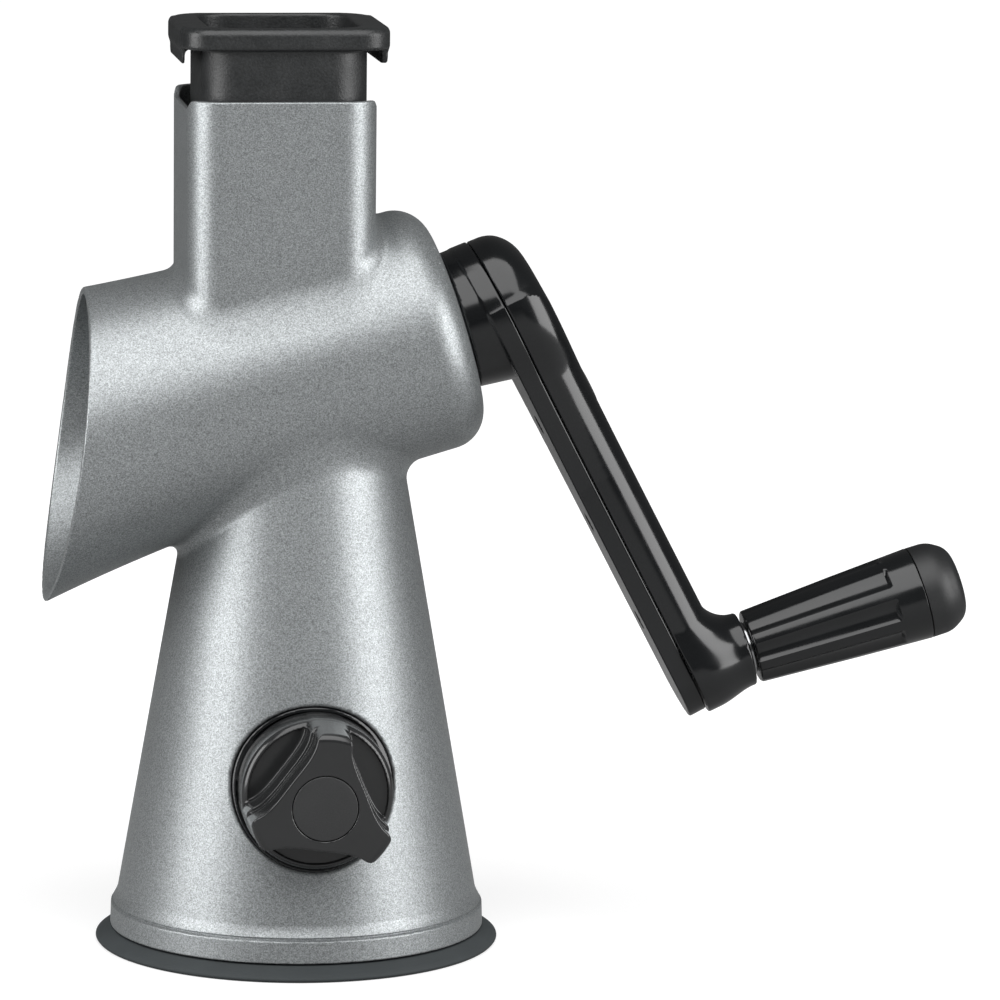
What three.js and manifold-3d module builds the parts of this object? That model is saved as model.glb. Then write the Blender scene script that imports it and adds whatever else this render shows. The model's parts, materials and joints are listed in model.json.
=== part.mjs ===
// Rotary cheese grater with a hand crank and a suction base. Millimetres, +Z up.
// Origin: centre of the foot, on the table. +X is the crank side, -X the mouth, -Y the knob.
import * as THREE from 'three';
import { mergeVertices } from 'three/addons/utils/BufferGeometryUtils.js';
import Module from 'manifold-3d';

const wasm = await Module();
wasm.setup();

// ---- driving dimensions ----
const GAP = 0.3; // clearance between pieces that touch
const WALL = 2.3; // moulded walls of the body

const PAD_RADIUS = 64.6; // rubber foot at its widest
const SKIRT_BOTTOM = 5;
const SKIRT_TOP = 12.4;
const SKIRT_RADIUS = 59.7;
const CONE_RADIUS = 60.1; // of the cone's straight side, carried down to z = 0
const CONE_TAPER = 0.174; // radius lost per millimetre of height
const CONE_START = 20; // height where the fillet over the skirt ends
const CONE_TOP = 182; // inside the housing

const AXIS_TILT = THREE.MathUtils.degToRad(17); // the drum axis falls towards the mouth
const AXIS_END = new THREE.Vector3(51, 0, 199); // where it leaves the housing, crank side
const HOUSING_LENGTH = 170; // longer than the mouth cut leaves
const END_WALL = 3;
const END_ROUND = 10.5;
const HOUSING_RADIUS = 39.1; // at its crank end
const MOUTH_FLARE = 8.4; // radius gained over FLARE_LENGTH
const FLARE_LENGTH = 145;
const HOUSING_RISE = 0.55; // the housing's skin lies above the drum axis
const HOUSING_RISE_RATE = 0.0157; // and more so towards the mouth
const MOUTH_TOP = new THREE.Vector2(-68, 214);
const MOUTH_MIDDLE = new THREE.Vector2(-70, 158.5); // control point of the curved mouth
const MOUTH_BOTTOM = new THREE.Vector2(-83, 103);

const CHUTE_X = -8.4;
const CHUTE_SIZE = [59.4, 64]; // outside, X and Y
const CHUTE_CORNER = 9;
const CHUTE_WALL = 2;
const CHUTE_TOP = 271.5;
const CHUTE_DIP = 3.4; // the two side walls are this much lower

const PUSHER_X = -7.3;
const PUSHER_LIFT = 15.4; // how far above its lowest place the pusher stands
const PUSHER_SIZE = [52, 57];
const PUSHER_BOTTOM = 226.5;
const PUSHER_WALL = 2.2;
const FLANGE_SIZE = [64.4, 62];
const FLANGE_BOTTOM = 287.2;
const FLANGE_TOP = 294.1;
const LIP_BOTTOM = 282.3; // lips that hang over the chute's low sides

const DRUM_RADIUS = 31.5;
const DRUM_WALL = 0.8;
const DRUM_NEAR = -10; // along the drum axis, from the housing's end face
const DRUM_FAR = -88;

const SQUARE = 10; // across the flats of the drive shaft
const CRANK_RADIUS = 130.4; // drum axis to grip axis
const ARM_TILT = THREE.MathUtils.degToRad(10.6); // arm leans outwards from square to the axis
const ARM_FACE = 7.2; // arm's inner face, from the housing's end along the arm's normal
const ARM_SEAM = 13.3;
const ARM_BACK = 26.9; // arm's outer face
const ARM_WALL = 2.2;
const HUB_RADIUS = 22.5;
const BOSS_RADIUS = 12; // at its end face
const BOSS_END = 58.5;
const GRIP_START = 60.2;
const GRIP_SPLIT = 117.5;
const GRIP_END = 131;
const GRIP_RADII = [12, 15.1]; // inner and outer end
const AXLE_RADIUS = 3;
const AXLE_ROOT = 38; // bottom of the axle's hole in the crank

const KNOB_HEIGHT = 58.4;
const KNOB_HOLE = 25.4;
const KNOB_DISC = 23.4;
const KNOB_FACE = -78;
const KNOB_FLOOR = -57; // where the lobes meet the disc
const KNOB_BACK = -45;
const LOBE_TIP = 22.7;
const LOBE_WAIST = 13.4;
const LOBE_HALF_WIDTH = 5;
const LOBE_ANGLES = [82, 202, 322]; // degrees from +X, seen from the front
const CAP_RADIUS = 10.1;

const CAM_RADIUS = 10;
const CAM_THROW = 2.475; // lifts the yoke 3.5 over a quarter turn
const STEM_RADIUS = 4.7;

const ROUND = { fine: 48, medium: 28, coarse: 12 };

// ---- solids from three.js geometry ----
function signedVolume(positions, triangles) {
  const [a, b, c] = [new THREE.Vector3(), new THREE.Vector3(), new THREE.Vector3()];
  let volume = 0;
  for (let i = 0; i < triangles.length; i += 3) {
    a.fromArray(positions, triangles[i] * 3);
    b.fromArray(positions, triangles[i + 1] * 3);
    c.fromArray(positions, triangles[i + 2] * 3);
    volume += a.dot(b.cross(c)) / 6;
  }
  return volume;
}

function solid(geometry) {
  const bare = geometry.clone();
  bare.deleteAttribute('normal');
  bare.deleteAttribute('uv');
  const merged = mergeVertices(bare, 1e-4);
  const positions = Float32Array.from(merged.attributes.position.array);
  const corners = merged.index.array;
  const triangles = [];
  for (let i = 0; i < corners.length; i += 3) {
    const [a, b, c] = corners.slice(i, i + 3);
    if (a !== b && b !== c && c !== a) triangles.push(a, b, c);
  }
  if (signedVolume(positions, triangles) < 0) triangles.reverse();
  const triVerts = Uint32Array.from(triangles);
  return new wasm.Manifold(new wasm.Mesh({ numProp: 3, vertProperties: positions, triVerts }));
}

const joined = (...solids) => solids.reduce((sum, next) => sum.add(next));
const cut = (from, ...tools) => tools.reduce((left, tool) => left.subtract(tool), from);

function piece(name, shape, material) {
  const { vertProperties, triVerts } = shape.getMesh();
  const geometry = new THREE.BufferGeometry();
  geometry.setAttribute('position', new THREE.BufferAttribute(vertProperties, 3));
  geometry.setIndex(new THREE.BufferAttribute(triVerts, 1));
  geometry.computeVertexNormals();
  const mesh = new THREE.Mesh(geometry, material);
  mesh.name = name;
  return mesh;
}

// A turned shape. The profile is a list of [along the axis, radius].
function turned(axis, profile, segments = ROUND.medium) {
  const outline = profile.map(([along, radius]) => new THREE.Vector2(radius, along));
  const geometry = new THREE.LatheGeometry(outline, segments);
  if (axis === 'x') geometry.rotateZ(-Math.PI / 2);
  if (axis === 'z') geometry.rotateX(Math.PI / 2);
  return geometry;
}

function rod(axis, from, to, radius, segments = ROUND.medium) {
  return turned(axis, [[from, 0], [from, radius], [to, radius], [to, 0]], segments);
}

function ring(axis, from, to, inner, outer, segments = ROUND.medium) {
  const profile = [[from, inner], [from, outer], [to, outer], [to, inner], [from, inner]];
  return turned(axis, profile, segments);
}

function box(low, high) {
  const size = high.map((value, i) => value - low[i]);
  const middle = high.map((value, i) => (value + low[i]) / 2);
  return new THREE.BoxGeometry(...size).translate(...middle);
}

function roundedRectangle(width, depth, radius) {
  const [x, y] = [width / 2, depth / 2];
  const shape = new THREE.Shape();
  shape.moveTo(-x + radius, -y).lineTo(x - radius, -y);
  shape.absarc(x - radius, -y + radius, radius, -Math.PI / 2, 0);
  shape.absarc(x - radius, y - radius, radius, 0, Math.PI / 2);
  shape.absarc(-x + radius, y - radius, radius, Math.PI / 2, Math.PI);
  shape.absarc(-x + radius, -y + radius, radius, Math.PI, 1.5 * Math.PI);
  return shape;
}

function upright(shape, bottom, top, curveSegments = 6) {
  const options = { depth: top - bottom, bevelEnabled: false, curveSegments };
  return new THREE.ExtrudeGeometry(shape, options).translate(0, 0, bottom);
}

// Extrudes a shape drawn in X and Z along Y, from near to far.
function alongY(shape, near, far, curveSegments = 8) {
  const options = { depth: far - near, bevelEnabled: false, curveSegments };
  const geometry = new THREE.ExtrudeGeometry(shape, options);
  return geometry.rotateX(Math.PI / 2).translate(0, far, 0);
}

// ---- the two tilted frames: local +X runs out along the drum axis, or out from the arm ----
const axisFrame = new THREE.Matrix4().makeRotationY(-AXIS_TILT).setPosition(AXIS_END);
const armToAxis = new THREE.Matrix4().makeRotationY(-ARM_TILT);
const axisToArm = armToAxis.clone().invert();

// ---- finishes ----
const finish = (color, roughness, metalness = 0) =>
  new THREE.MeshStandardMaterial({ color, roughness, metalness });
const silverPaint = finish(0x8f9394, 0.42, 0.6);
const glossBlack = finish(0x101113, 0.18);
const satinBlack = finish(0x2b2c2f, 0.5);
const grainedBlack = finish(0x2c2e30, 0.6);
const rubber = finish(0x3c4042, 0.85);
const steel = finish(0xb9bcbe, 0.25, 1);
const zincSteel = finish(0x9da1a3, 0.35, 1);
const whitePlastic = finish(0xd8d8d4, 0.5);
const greyPlastic = finish(0x5a5d60, 0.55);

// ---- body: cone, housing and chute in one moulding ----
const coneRadius = (height) => CONE_RADIUS - CONE_TAPER * height;
const housingRadius = (along) => HOUSING_RADIUS + MOUTH_FLARE * (-along / FLARE_LENGTH) ** 2.7;

function coneGeometry(inset, bottom) {
  const profile = [[bottom, 0], [bottom, SKIRT_RADIUS - inset]];
  profile.push([SKIRT_TOP, SKIRT_RADIUS - 0.5 - inset], [SKIRT_TOP + 0.4, SKIRT_RADIUS - 1.2 - inset]);
  const fillet = new THREE.QuadraticBezierCurve(
    new THREE.Vector2(SKIRT_TOP + 0.4, SKIRT_RADIUS - 1.2),
    new THREE.Vector2(SKIRT_TOP + 3, coneRadius(SKIRT_TOP + 3)),
    new THREE.Vector2(CONE_START, coneRadius(CONE_START)),
  );
  for (const point of fillet.getPoints(4).slice(1)) profile.push([point.x, point.y - inset]);
  profile.push([CONE_TOP, coneRadius(CONE_TOP) - inset], [CONE_TOP, 0]);
  return turned('z', profile, ROUND.fine);
}

function housingGeometry(inset, start) {
  const profile = [[start, 0]];
  const round = END_ROUND - inset;
  for (let step = 0; step <= 4; step += 1) {
    const angle = (step / 4) * (Math.PI / 2);
    const radius = housingRadius(0) - END_ROUND + round * Math.sin(angle);
    profile.push([start - round + round * Math.cos(angle), radius]);
  }
  for (let along = -20; along >= -HOUSING_LENGTH; along -= 25) {
    profile.push([along, housingRadius(along) - inset]);
  }
  profile.push([-HOUSING_LENGTH, 0]);
  const rise = new THREE.Matrix4().set(
    1, 0, 0, 0,
    0, 1, 0, 0,
    -HOUSING_RISE_RATE, 0, 1, HOUSING_RISE,
    0, 0, 0, 1,
  );
  return turned('x', profile, ROUND.fine).applyMatrix4(rise).applyMatrix4(axisFrame);
}

function mouthCut() {
  const shape = new THREE.Shape();
  const away = -140;
  shape.moveTo(away, MOUTH_TOP.y + 60).lineTo(MOUTH_TOP.x, MOUTH_TOP.y + 60);
  shape.lineTo(MOUTH_TOP.x, MOUTH_TOP.y);
  shape.quadraticCurveTo(MOUTH_MIDDLE.x, MOUTH_MIDDLE.y, MOUTH_BOTTOM.x, MOUTH_BOTTOM.y);
  shape.lineTo(MOUTH_BOTTOM.x, 40).lineTo(away, 40);
  return solid(alongY(shape, -70, 70));
}

function chuteSolid(inset, top) {
  const [width, depth] = CHUTE_SIZE.map((size) => size - 2 * inset);
  const shape = roundedRectangle(width, depth, CHUTE_CORNER - inset);
  return solid(upright(shape, 186, top).translate(CHUTE_X, 0, 0));
}

function chuteDips() {
  const half = 21;
  const slope = 3;
  const shape = new THREE.Shape();
  shape.moveTo(-half, CHUTE_TOP - CHUTE_DIP).lineTo(half, CHUTE_TOP - CHUTE_DIP);
  shape.lineTo(half + slope, CHUTE_TOP + 1).lineTo(-half - slope, CHUTE_TOP + 1);
  return solid(alongY(shape, -40, 40).rotateZ(Math.PI / 2).translate(CHUTE_X, 0, 0));
}

const SCREW_CIRCLE = 46;
const FRAME_SCREW_ANGLES = [90, 210, 330].map(THREE.MathUtils.degToRad);
const FRAME_TOP = 23;
const FRAME_UNDERSIDE = 20;
const onScrewCircle = (geometry, angle) =>
  geometry.translate(SCREW_CIRCLE * Math.cos(angle), SCREW_CIRCLE * Math.sin(angle), 0);

function screwPosts() {
  const reach = solid(coneGeometry(1, SKIRT_BOTTOM));
  const posts = FRAME_SCREW_ANGLES.map((angle) => {
    const post = solid(onScrewCircle(rod('z', FRAME_TOP + GAP, 74, 3.8, ROUND.coarse), angle));
    const rib = box([SCREW_CIRCLE, -1, FRAME_TOP + GAP], [SCREW_CIRCLE + 12, 1, 50]);
    return post.add(solid(rib.rotateZ(angle)));
  });
  return joined(...posts).intersect(reach);
}

function bodyShell() {
  const housing = solid(housingGeometry(0, 0));
  const outside = joined(solid(coneGeometry(0, SKIRT_BOTTOM)), housing, chuteSolid(0, CHUTE_TOP));
  const coneHollow = solid(coneGeometry(WALL, SKIRT_BOTTOM - 2)).subtract(housing);
  const shell = cut(
    outside.subtract(coneHollow).add(screwPosts()),
    solid(housingGeometry(WALL, -END_WALL)),
    chuteSolid(CHUTE_WALL, CHUTE_TOP + 2),
    chuteDips(),
    mouthCut(),
    solid(rod('x', -5, 2, 14).applyMatrix4(axisFrame)),
    solid(rod('y', -70, -20, KNOB_HOLE, ROUND.fine).translate(0, 0, KNOB_HEIGHT)),
  );
  const bores = FRAME_SCREW_ANGLES.map((angle) =>
    solid(onScrewCircle(rod('z', FRAME_TOP, 44, 1.8, ROUND.coarse), angle)));
  return piece('body_shell', cut(shell, ...bores), silverPaint);
}

// ---- foot: rubber pad, frame and the lift mechanism ----
function suctionPad() {
  const profile = [
    [0, 0], [0, PAD_RADIUS - 1], [1.2, PAD_RADIUS], [3, PAD_RADIUS - 2],
    [SKIRT_BOTTOM - GAP, SKIRT_RADIUS - 0.2], [SKIRT_BOTTOM - GAP, 49], [3.2, 47],
    [3.2, 10], [6, 9], [6, 6.9], [3.2, 6.9], [3.2, 0],
  ];
  return piece('suction_pad', solid(turned('z', profile, ROUND.fine)), rubber);
}

function bracket(near, far) {
  const shape = new THREE.Shape();
  shape.moveTo(-13, FRAME_TOP - 1).lineTo(13, FRAME_TOP - 1).lineTo(10, KNOB_HEIGHT);
  shape.absarc(0, KNOB_HEIGHT, 10, 0, Math.PI);
  return solid(alongY(shape, near, far));
}

const BRACKETS = [[-26, -22], [22, 26]]; // near and far Y of the two uprights
const BUSH_RADIUS = 6;

function baseFrame() {
  const radius = coneRadius(FRAME_TOP) - WALL - 0.5;
  const plate = solid(rod('z', FRAME_UNDERSIDE, FRAME_TOP, radius, ROUND.fine));
  const rim = solid(ring('z', SKIRT_BOTTOM, FRAME_TOP - 1, radius - 3, radius, ROUND.fine));
  const uprights = BRACKETS.map(([near, far]) => bracket(near, far));
  const holes = FRAME_SCREW_ANGLES.map((angle) =>
    solid(onScrewCircle(rod('z', 15, 30, 1.9, ROUND.coarse), angle)));
  const bore = solid(rod('y', -40, 40, BUSH_RADIUS + GAP).translate(0, 0, KNOB_HEIGHT));
  const guide = solid(rod('z', 10, 30, STEM_RADIUS + GAP + 0.1));
  return piece('base_frame', cut(joined(plate, rim, ...uprights), ...holes, bore, guide), satinBlack);
}

// A pan-head screw along +Z with its head's underside at z = 0.
function screwGeometry(headRadius, headHeight, shankRadius, length) {
  return turned('z', [
    [-headHeight, 0], [-headHeight, headRadius * 0.72], [-headHeight * 0.5, headRadius],
    [0, headRadius], [0, shankRadius], [length - 1, shankRadius], [length, 0],
  ], ROUND.coarse);
}

function frameScrews() {
  return FRAME_SCREW_ANGLES.map((angle, i) => {
    const screw = screwGeometry(3.2, 2.4, 1.4, 18).translate(0, 0, FRAME_UNDERSIDE - GAP);
    return piece(`frame_screw_${i + 1}`, solid(onScrewCircle(screw, angle)), zincSteel);
  });
}

function liftYoke() {
  const side = 12.8; // half the window that the cam turns in
  const [top, bottom] = [KNOB_HEIGHT + 8.55, KNOB_HEIGHT - 12.1];
  const frame = solid(box([-side - 4, -4, bottom - 5.5], [side + 4, 4, top + 5]));
  const stem = solid(turned('z', [
    [3.5, 0], [3.5, 6.6], [6, 6.6], [6, STEM_RADIUS], [bottom - 4, STEM_RADIUS], [bottom - 4, 0],
  ]));
  const window = solid(box([-side, -6, bottom], [side, 6, top]));
  return piece('lift_yoke', frame.add(stem).subtract(window), whitePlastic);
}

class Helix extends THREE.Curve {
  constructor(radius, bottom, top, turns) {
    super();
    Object.assign(this, { radius, bottom, top, turns });
  }

  getPoint(t, target = new THREE.Vector3()) {
    const angle = t * this.turns * 2 * Math.PI;
    const height = this.bottom + t * (this.top - this.bottom);
    return target.set(this.radius * Math.cos(angle), this.radius * Math.sin(angle), height);
  }
}

function yokeSpring() {
  const wire = new THREE.Shape().absarc(0, 0, 0.65, 0, 2 * Math.PI);
  const path = new Helix(5.85, 7.2, 18.8, 4);
  const options = { extrudePath: path, steps: 48, curveSegments: 3 };
  return piece('yoke_spring', solid(new THREE.ExtrudeGeometry(wire, options)), steel);
}

// ---- knob and cam spindle, turning about Y at the knob's height ----
const SPINDLE_RADIUS = 4;
const SPINDLE_SQUARE = 3.5; // half across its flats
const SPINDLE_END = -62;

function camSpindle() {
  const shaft = turned('y', [
    [KNOB_BACK + 0.4, 0], [KNOB_BACK + 0.4, SPINDLE_RADIUS], [26.7, SPINDLE_RADIUS], [26.7, 3.1], [28.3, 3.1],
    [28.3, SPINDLE_RADIUS], [29.5, SPINDLE_RADIUS], [29.5, 0],
  ]);
  const throwSide = -CAM_THROW * Math.SQRT1_2; // below and to the left of the spindle
  const cam = rod('y', -3.5, 3.5, CAM_RADIUS).translate(throwSide, 0, throwSide);
  const half = SPINDLE_SQUARE;
  const square = box([-half, SPINDLE_END, -half], [half, KNOB_BACK + 2, half]);
  const bore = rod('y', SPINDLE_END - 1, -50, 1.8, ROUND.coarse);
  return cut(joined(solid(shaft), solid(cam), solid(square)), solid(bore));
}

function lobedOutline() {
  const tipCorner = 3;
  const waistAngle = Math.PI / 3;
  const outline = new THREE.Shape();
  LOBE_ANGLES.map(THREE.MathUtils.degToRad).forEach((angle, i) => {
    const along = new THREE.Vector2(Math.cos(angle), Math.sin(angle));
    const across = new THREE.Vector2(-along.y, along.x);
    const at = (out, side) => along.clone().multiplyScalar(out).addScaledVector(across, side);
    const start = at(16, -LOBE_HALF_WIDTH - 0.8);
    if (i === 0) outline.moveTo(start.x, start.y);
    const near = at(LOBE_TIP - tipCorner, -LOBE_HALF_WIDTH);
    const far = at(LOBE_TIP - tipCorner, LOBE_HALF_WIDTH);
    const [c1, c2] = [at(LOBE_TIP, -LOBE_HALF_WIDTH), at(LOBE_TIP, LOBE_HALF_WIDTH)];
    const [e1, e2] = [at(LOBE_TIP, -2), at(LOBE_TIP, 2)];
    const end = at(16, LOBE_HALF_WIDTH + 0.8);
    outline.lineTo(near.x, near.y);
    outline.quadraticCurveTo(c1.x, c1.y, e1.x, e1.y).lineTo(e2.x, e2.y);
    outline.quadraticCurveTo(c2.x, c2.y, far.x, far.y).lineTo(end.x, end.y);
    const nextAngle = angle + 2 * waistAngle;
    const next = new THREE.Vector2(16, -LOBE_HALF_WIDTH - 0.8).rotateAround(new THREE.Vector2(), nextAngle);
    const middle = new THREE.Vector2(1, 0).rotateAround(new THREE.Vector2(), angle + waistAngle);
    const pull = middle.multiplyScalar(2 * LOBE_WAIST - end.clone().add(next).length() / 2);
    outline.quadraticCurveTo(pull.x, pull.y, next.x, next.y);
  });
  return outline;
}

function knobSolid() {
  const lobes = solid(alongY(lobedOutline(), KNOB_FACE, KNOB_FLOOR + 1, 5));
  const flare = turned('y', [
    [KNOB_FACE, 0], [KNOB_FACE, LOBE_TIP], [KNOB_FLOOR + 1, KNOB_DISC], [KNOB_FLOOR + 1, 0],
  ], ROUND.medium);
  const disc = turned('y', [
    [KNOB_FLOOR, 0], [KNOB_FLOOR, KNOB_DISC], [KNOB_BACK, KNOB_DISC], [KNOB_BACK, 0],
  ], ROUND.medium);
  const socket = SPINDLE_SQUARE + GAP;
  return cut(
    lobes.intersect(solid(flare)).add(solid(disc)),
    solid(box([-socket, SPINDLE_END - GAP, -socket], [socket, KNOB_BACK + 1, socket])),
    solid(rod('y', -74.5, -60, 1.8, ROUND.coarse)),
    solid(rod('y', -76.5, -74, 4, ROUND.coarse)),
    solid(rod('y', KNOB_FACE - 1, -76.3, CAP_RADIUS + GAP)),
  );
}

function knobBezel() {
  const sleeve = solid(ring('y', -60, -40, KNOB_DISC + 0.5, KNOB_HOLE - GAP, ROUND.fine));
  const ledge = solid(ring('y', -43.5, -41.5, 19, KNOB_HOLE - GAP, ROUND.fine));
  const ringSolid = joined(sleeve, ledge).translate([0, 0, KNOB_HEIGHT]);
  return piece('knob_bezel', ringSolid.intersect(solid(coneGeometry(-0.5, SKIRT_BOTTOM))), satinBlack);
}

function knobGroup() {
  const screw = screwGeometry(3.4, 1.9, 1.4, 22).rotateX(-Math.PI / 2).translate(0, -74 - GAP, 0);
  const clip = solid(ring('y', 27, 28, 3.1 + GAP, 6.5, ROUND.coarse))
    .subtract(solid(box([-2, 26, 0], [2, 29, 8])));
  const bush = (near, far) => solid(ring('y', near, far, SPINDLE_RADIUS + GAP, BUSH_RADIUS, ROUND.coarse));
  const group = new THREE.Group();
  group.position.z = KNOB_HEIGHT;
  group.add(
    piece('cam_spindle', camSpindle(), steel),
    piece('front_bush', bush(BRACKETS[0][0] - 0.2, BRACKETS[0][1] + 0.2), whitePlastic),
    piece('rear_bush', bush(BRACKETS[1][0] - 0.2, BRACKETS[1][1] + 0.2), whitePlastic),
    piece('spindle_clip', clip, zincSteel),
    piece('knob', knobSolid(), glossBlack),
    piece('knob_screw', solid(screw), zincSteel),
    piece('knob_cap', solid(rod('y', KNOB_FACE, -76.3 - GAP, CAP_RADIUS)), satinBlack),
  );
  return group;
}

// ---- pusher ----
// The drum's outside, grown by a clearance and raised to where the pusher stands.
function drumSweep(radius) {
  const sweep = rod('x', -140, 40, radius, ROUND.medium).applyMatrix4(axisFrame);
  return solid(sweep.translate(0, 0, PUSHER_LIFT));
}

function pusher() {
  const [width, depth] = PUSHER_SIZE;
  const [flangeWidth, flangeDepth] = FLANGE_SIZE;
  const body = solid(upright(roundedRectangle(width, depth, 8), PUSHER_BOTTOM, FLANGE_TOP - 1));
  const flange = solid(upright(roundedRectangle(flangeWidth, flangeDepth, 10), FLANGE_BOTTOM, FLANGE_TOP));
  const hollowShape = roundedRectangle(width - 2 * PUSHER_WALL, depth - 2 * PUSHER_WALL, 6);
  const hollow = solid(upright(hollowShape, PUSHER_BOTTOM + 2.5, FLANGE_TOP + 1));
  const lips = [-1, 1].map((side) => {
    const lipReach = side * (CHUTE_SIZE[0] / 2 + GAP) + CHUTE_X - PUSHER_X;
    const [near, far] = [lipReach, side * (flangeWidth / 2)].sort((a, b) => a - b);
    return solid(box([near, -20, LIP_BOTTOM], [far, 20, FLANGE_BOTTOM + 1]));
  });
  const placed = [joined(body, flange, ...lips), hollow].map((shape) => shape.translate([PUSHER_X, 0, 0]));
  const floor = drumSweep(DRUM_RADIUS + 4);
  const shape = cut(placed[0], drumSweep(DRUM_RADIUS + 1.4), placed[1].subtract(floor));
  return piece('pusher', shape, grainedBlack);
}

// ---- drive and drum, in the axis frame ----
function squareBar(from, to, half) {
  return solid(box([from, -half, -half], [to, half, half]));
}

const SHAFT_INNER_END = -32;
const SHAFT_OUTER_END = 6.8;
const BUSH_NOSE = 3.2;

function driveBush() {
  const turnedBush = turned('x', [
    [-5.5, 0], [-5.5, 18], [-END_WALL - GAP, 18], [-END_WALL - GAP, 13.7], [0.5, 13.7],
    [0.5, 12.2], [2.2, 12.2], [2.2, 13.7], [BUSH_NOSE, 13.7], [BUSH_NOSE, 0],
  ]);
  return piece('drive_bush', cut(solid(turnedBush), squareBar(-8, 6, SQUARE / 2 + GAP)), greyPlastic);
}

function bushClip() {
  const clip = solid(ring('x', 0.8, 1.9, 12.2 + GAP, 17.5));
  return piece('bush_clip', clip.subtract(solid(box([0, -3, 0], [3, 3, 20]))), zincSteel);
}

function driveShaft() {
  const bar = squareBar(SHAFT_INNER_END, SHAFT_OUTER_END, SQUARE / 2);
  const bore = solid(rod('x', -12, SHAFT_OUTER_END + 1, 2.4, ROUND.coarse));
  const chamfer = solid(turned('x', [
    [SHAFT_INNER_END - 1, 0], [SHAFT_INNER_END - 1, 4.4], [SHAFT_INNER_END + 3, 8.4],
    [SHAFT_OUTER_END + 1, 8.4], [SHAFT_OUTER_END + 1, 0],
  ], ROUND.coarse));
  return piece('drive_shaft', cut(bar.intersect(chamfer), bore), steel);
}

function drumBarrel() {
  const barrel = solid(ring('x', DRUM_FAR, DRUM_NEAR, DRUM_RADIUS - DRUM_WALL, DRUM_RADIUS, ROUND.fine));
  return piece('drum_barrel', barrel, steel);
}

function drumHub() {
  const inside = DRUM_RADIUS - DRUM_WALL - GAP;
  const hub = turned('x', [
    [-26, 0], [-26, 9], [-15, 11], [-15, inside - 2.5], [-22, inside - 2], [-22, inside],
    [DRUM_NEAR - 1, inside], [DRUM_NEAR - 1, 13], [-7, 12], [-7, 0],
  ], ROUND.fine);
  return piece('drum_hub', cut(solid(hub), squareBar(-30, -4, SQUARE / 2 + GAP)), greyPlastic);
}

// ---- crank ----
const hubCentre = -ARM_SEAM * Math.tan(ARM_TILT); // in the arm's own Z, at the seam
const bossAt = new THREE.Vector3(44, 0, -CRANK_RADIUS).applyMatrix4(axisToArm);
const BOSS_ROOT_RADIUS = 13.4;

function armOutline(inset) {
  const hub = HUB_RADIUS - inset;
  const boss = BOSS_ROOT_RADIUS - inset;
  const waist = 14.2 - inset;
  const outline = new THREE.Shape();
  outline.moveTo(hub, hubCentre);
  outline.absarc(0, hubCentre, hub, 0, Math.PI);
  outline.bezierCurveTo(-hub, hubCentre - 22, -waist - 1, hubCentre - 30, -waist, hubCentre - 62);
  outline.lineTo(-boss, bossAt.z);
  outline.absarc(0, bossAt.z, boss, Math.PI, 2 * Math.PI);
  outline.lineTo(waist, hubCentre - 62);
  outline.bezierCurveTo(waist + 1, hubCentre - 30, hub, hubCentre - 22, hub, hubCentre);
  return outline;
}

// A slab of the arm's outline between two distances along the arm's normal.
const outlineToArm = new THREE.Matrix4().makeBasis(
  new THREE.Vector3(0, 1, 0), new THREE.Vector3(0, 0, 1), new THREE.Vector3(1, 0, 0),
);

function armSlab(from, to, inset, bevel = 0) {
  const options = { depth: to - from - bevel, bevelEnabled: bevel > 0, curveSegments: 8 };
  Object.assign(options, { bevelSize: bevel, bevelThickness: bevel, bevelOffset: -bevel, bevelSegments: 2 });
  const slab = new THREE.ExtrudeGeometry(armOutline(inset), options);
  return solid(slab.applyMatrix4(outlineToArm).translate(from, 0, 0));
}

const inArm = (geometry) => solid(geometry.applyMatrix4(axisToArm));
const beyond = (plane) => solid(box([plane, -60, -220], [plane + 80, 60, 80]));
const within = (plane) => solid(box([plane - 80, -60, -220], [plane, 60, 80]));
const onGripAxis = (geometry) => geometry.translate(0, 0, -CRANK_RADIUS);
const CRANK_SCREW_HEIGHTS = [-42, -78, -114];
const BADGE = { height: -37, half: [4.5, 7], thickness: 1.3, proud: 0.8 };

function armPosts(from, to, radius) {
  return CRANK_SCREW_HEIGHTS.map((height) =>
    solid(rod('x', from, to, radius, ROUND.coarse).translate(0, 0, height)));
}

function crankInnerShell() {
  const seam = ARM_SEAM - GAP / 2;
  const webTop = ARM_FACE + 2;
  const plate = armSlab(ARM_FACE, seam, 0);
  const sleeve = inArm(rod('x', 1, 20, HUB_RADIUS, ROUND.fine)).intersect(within(seam));
  const tray = cut(joined(plate, sleeve), armSlab(webTop, seam + 1, ARM_WALL));
  const sleeveBore = inArm(rod('x', -2, 20, HUB_RADIUS - 2.5, ROUND.fine)).intersect(within(ARM_FACE));
  const socket = inArm(rod('x', BUSH_NOSE + 0.4, 12.2, 9.6));
  const squareHole = squareBar(0, SHAFT_OUTER_END + GAP, SQUARE / 2 + GAP).transform(axisToArm.elements);
  const web = joined(tray.subtract(sleeveBore), socket, ...armPosts(ARM_FACE, seam, 4.6));
  const shell = cut(
    web,
    squareHole,
    inArm(rod('x', 0, 20, 2.5, ROUND.coarse)),
    ...armPosts(ARM_FACE - 1, ARM_FACE + 2.8, 3.2),
    ...armPosts(ARM_FACE, seam + 1, 1.9),
  );
  return piece('crank_inner_shell', shell, glossBlack);
}

function badgeOutline(grow) {
  const shape = new THREE.Shape();
  shape.absellipse(0, BADGE.height, BADGE.half[0] + grow, BADGE.half[1] + grow, 0, 2 * Math.PI);
  return shape;
}

function badgeSolid(from, to, grow) {
  const options = { depth: to - from, bevelEnabled: false, curveSegments: 10 };
  const slab = new THREE.ExtrudeGeometry(badgeOutline(grow), options);
  return solid(slab.applyMatrix4(outlineToArm).translate(from, 0, 0));
}

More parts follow.
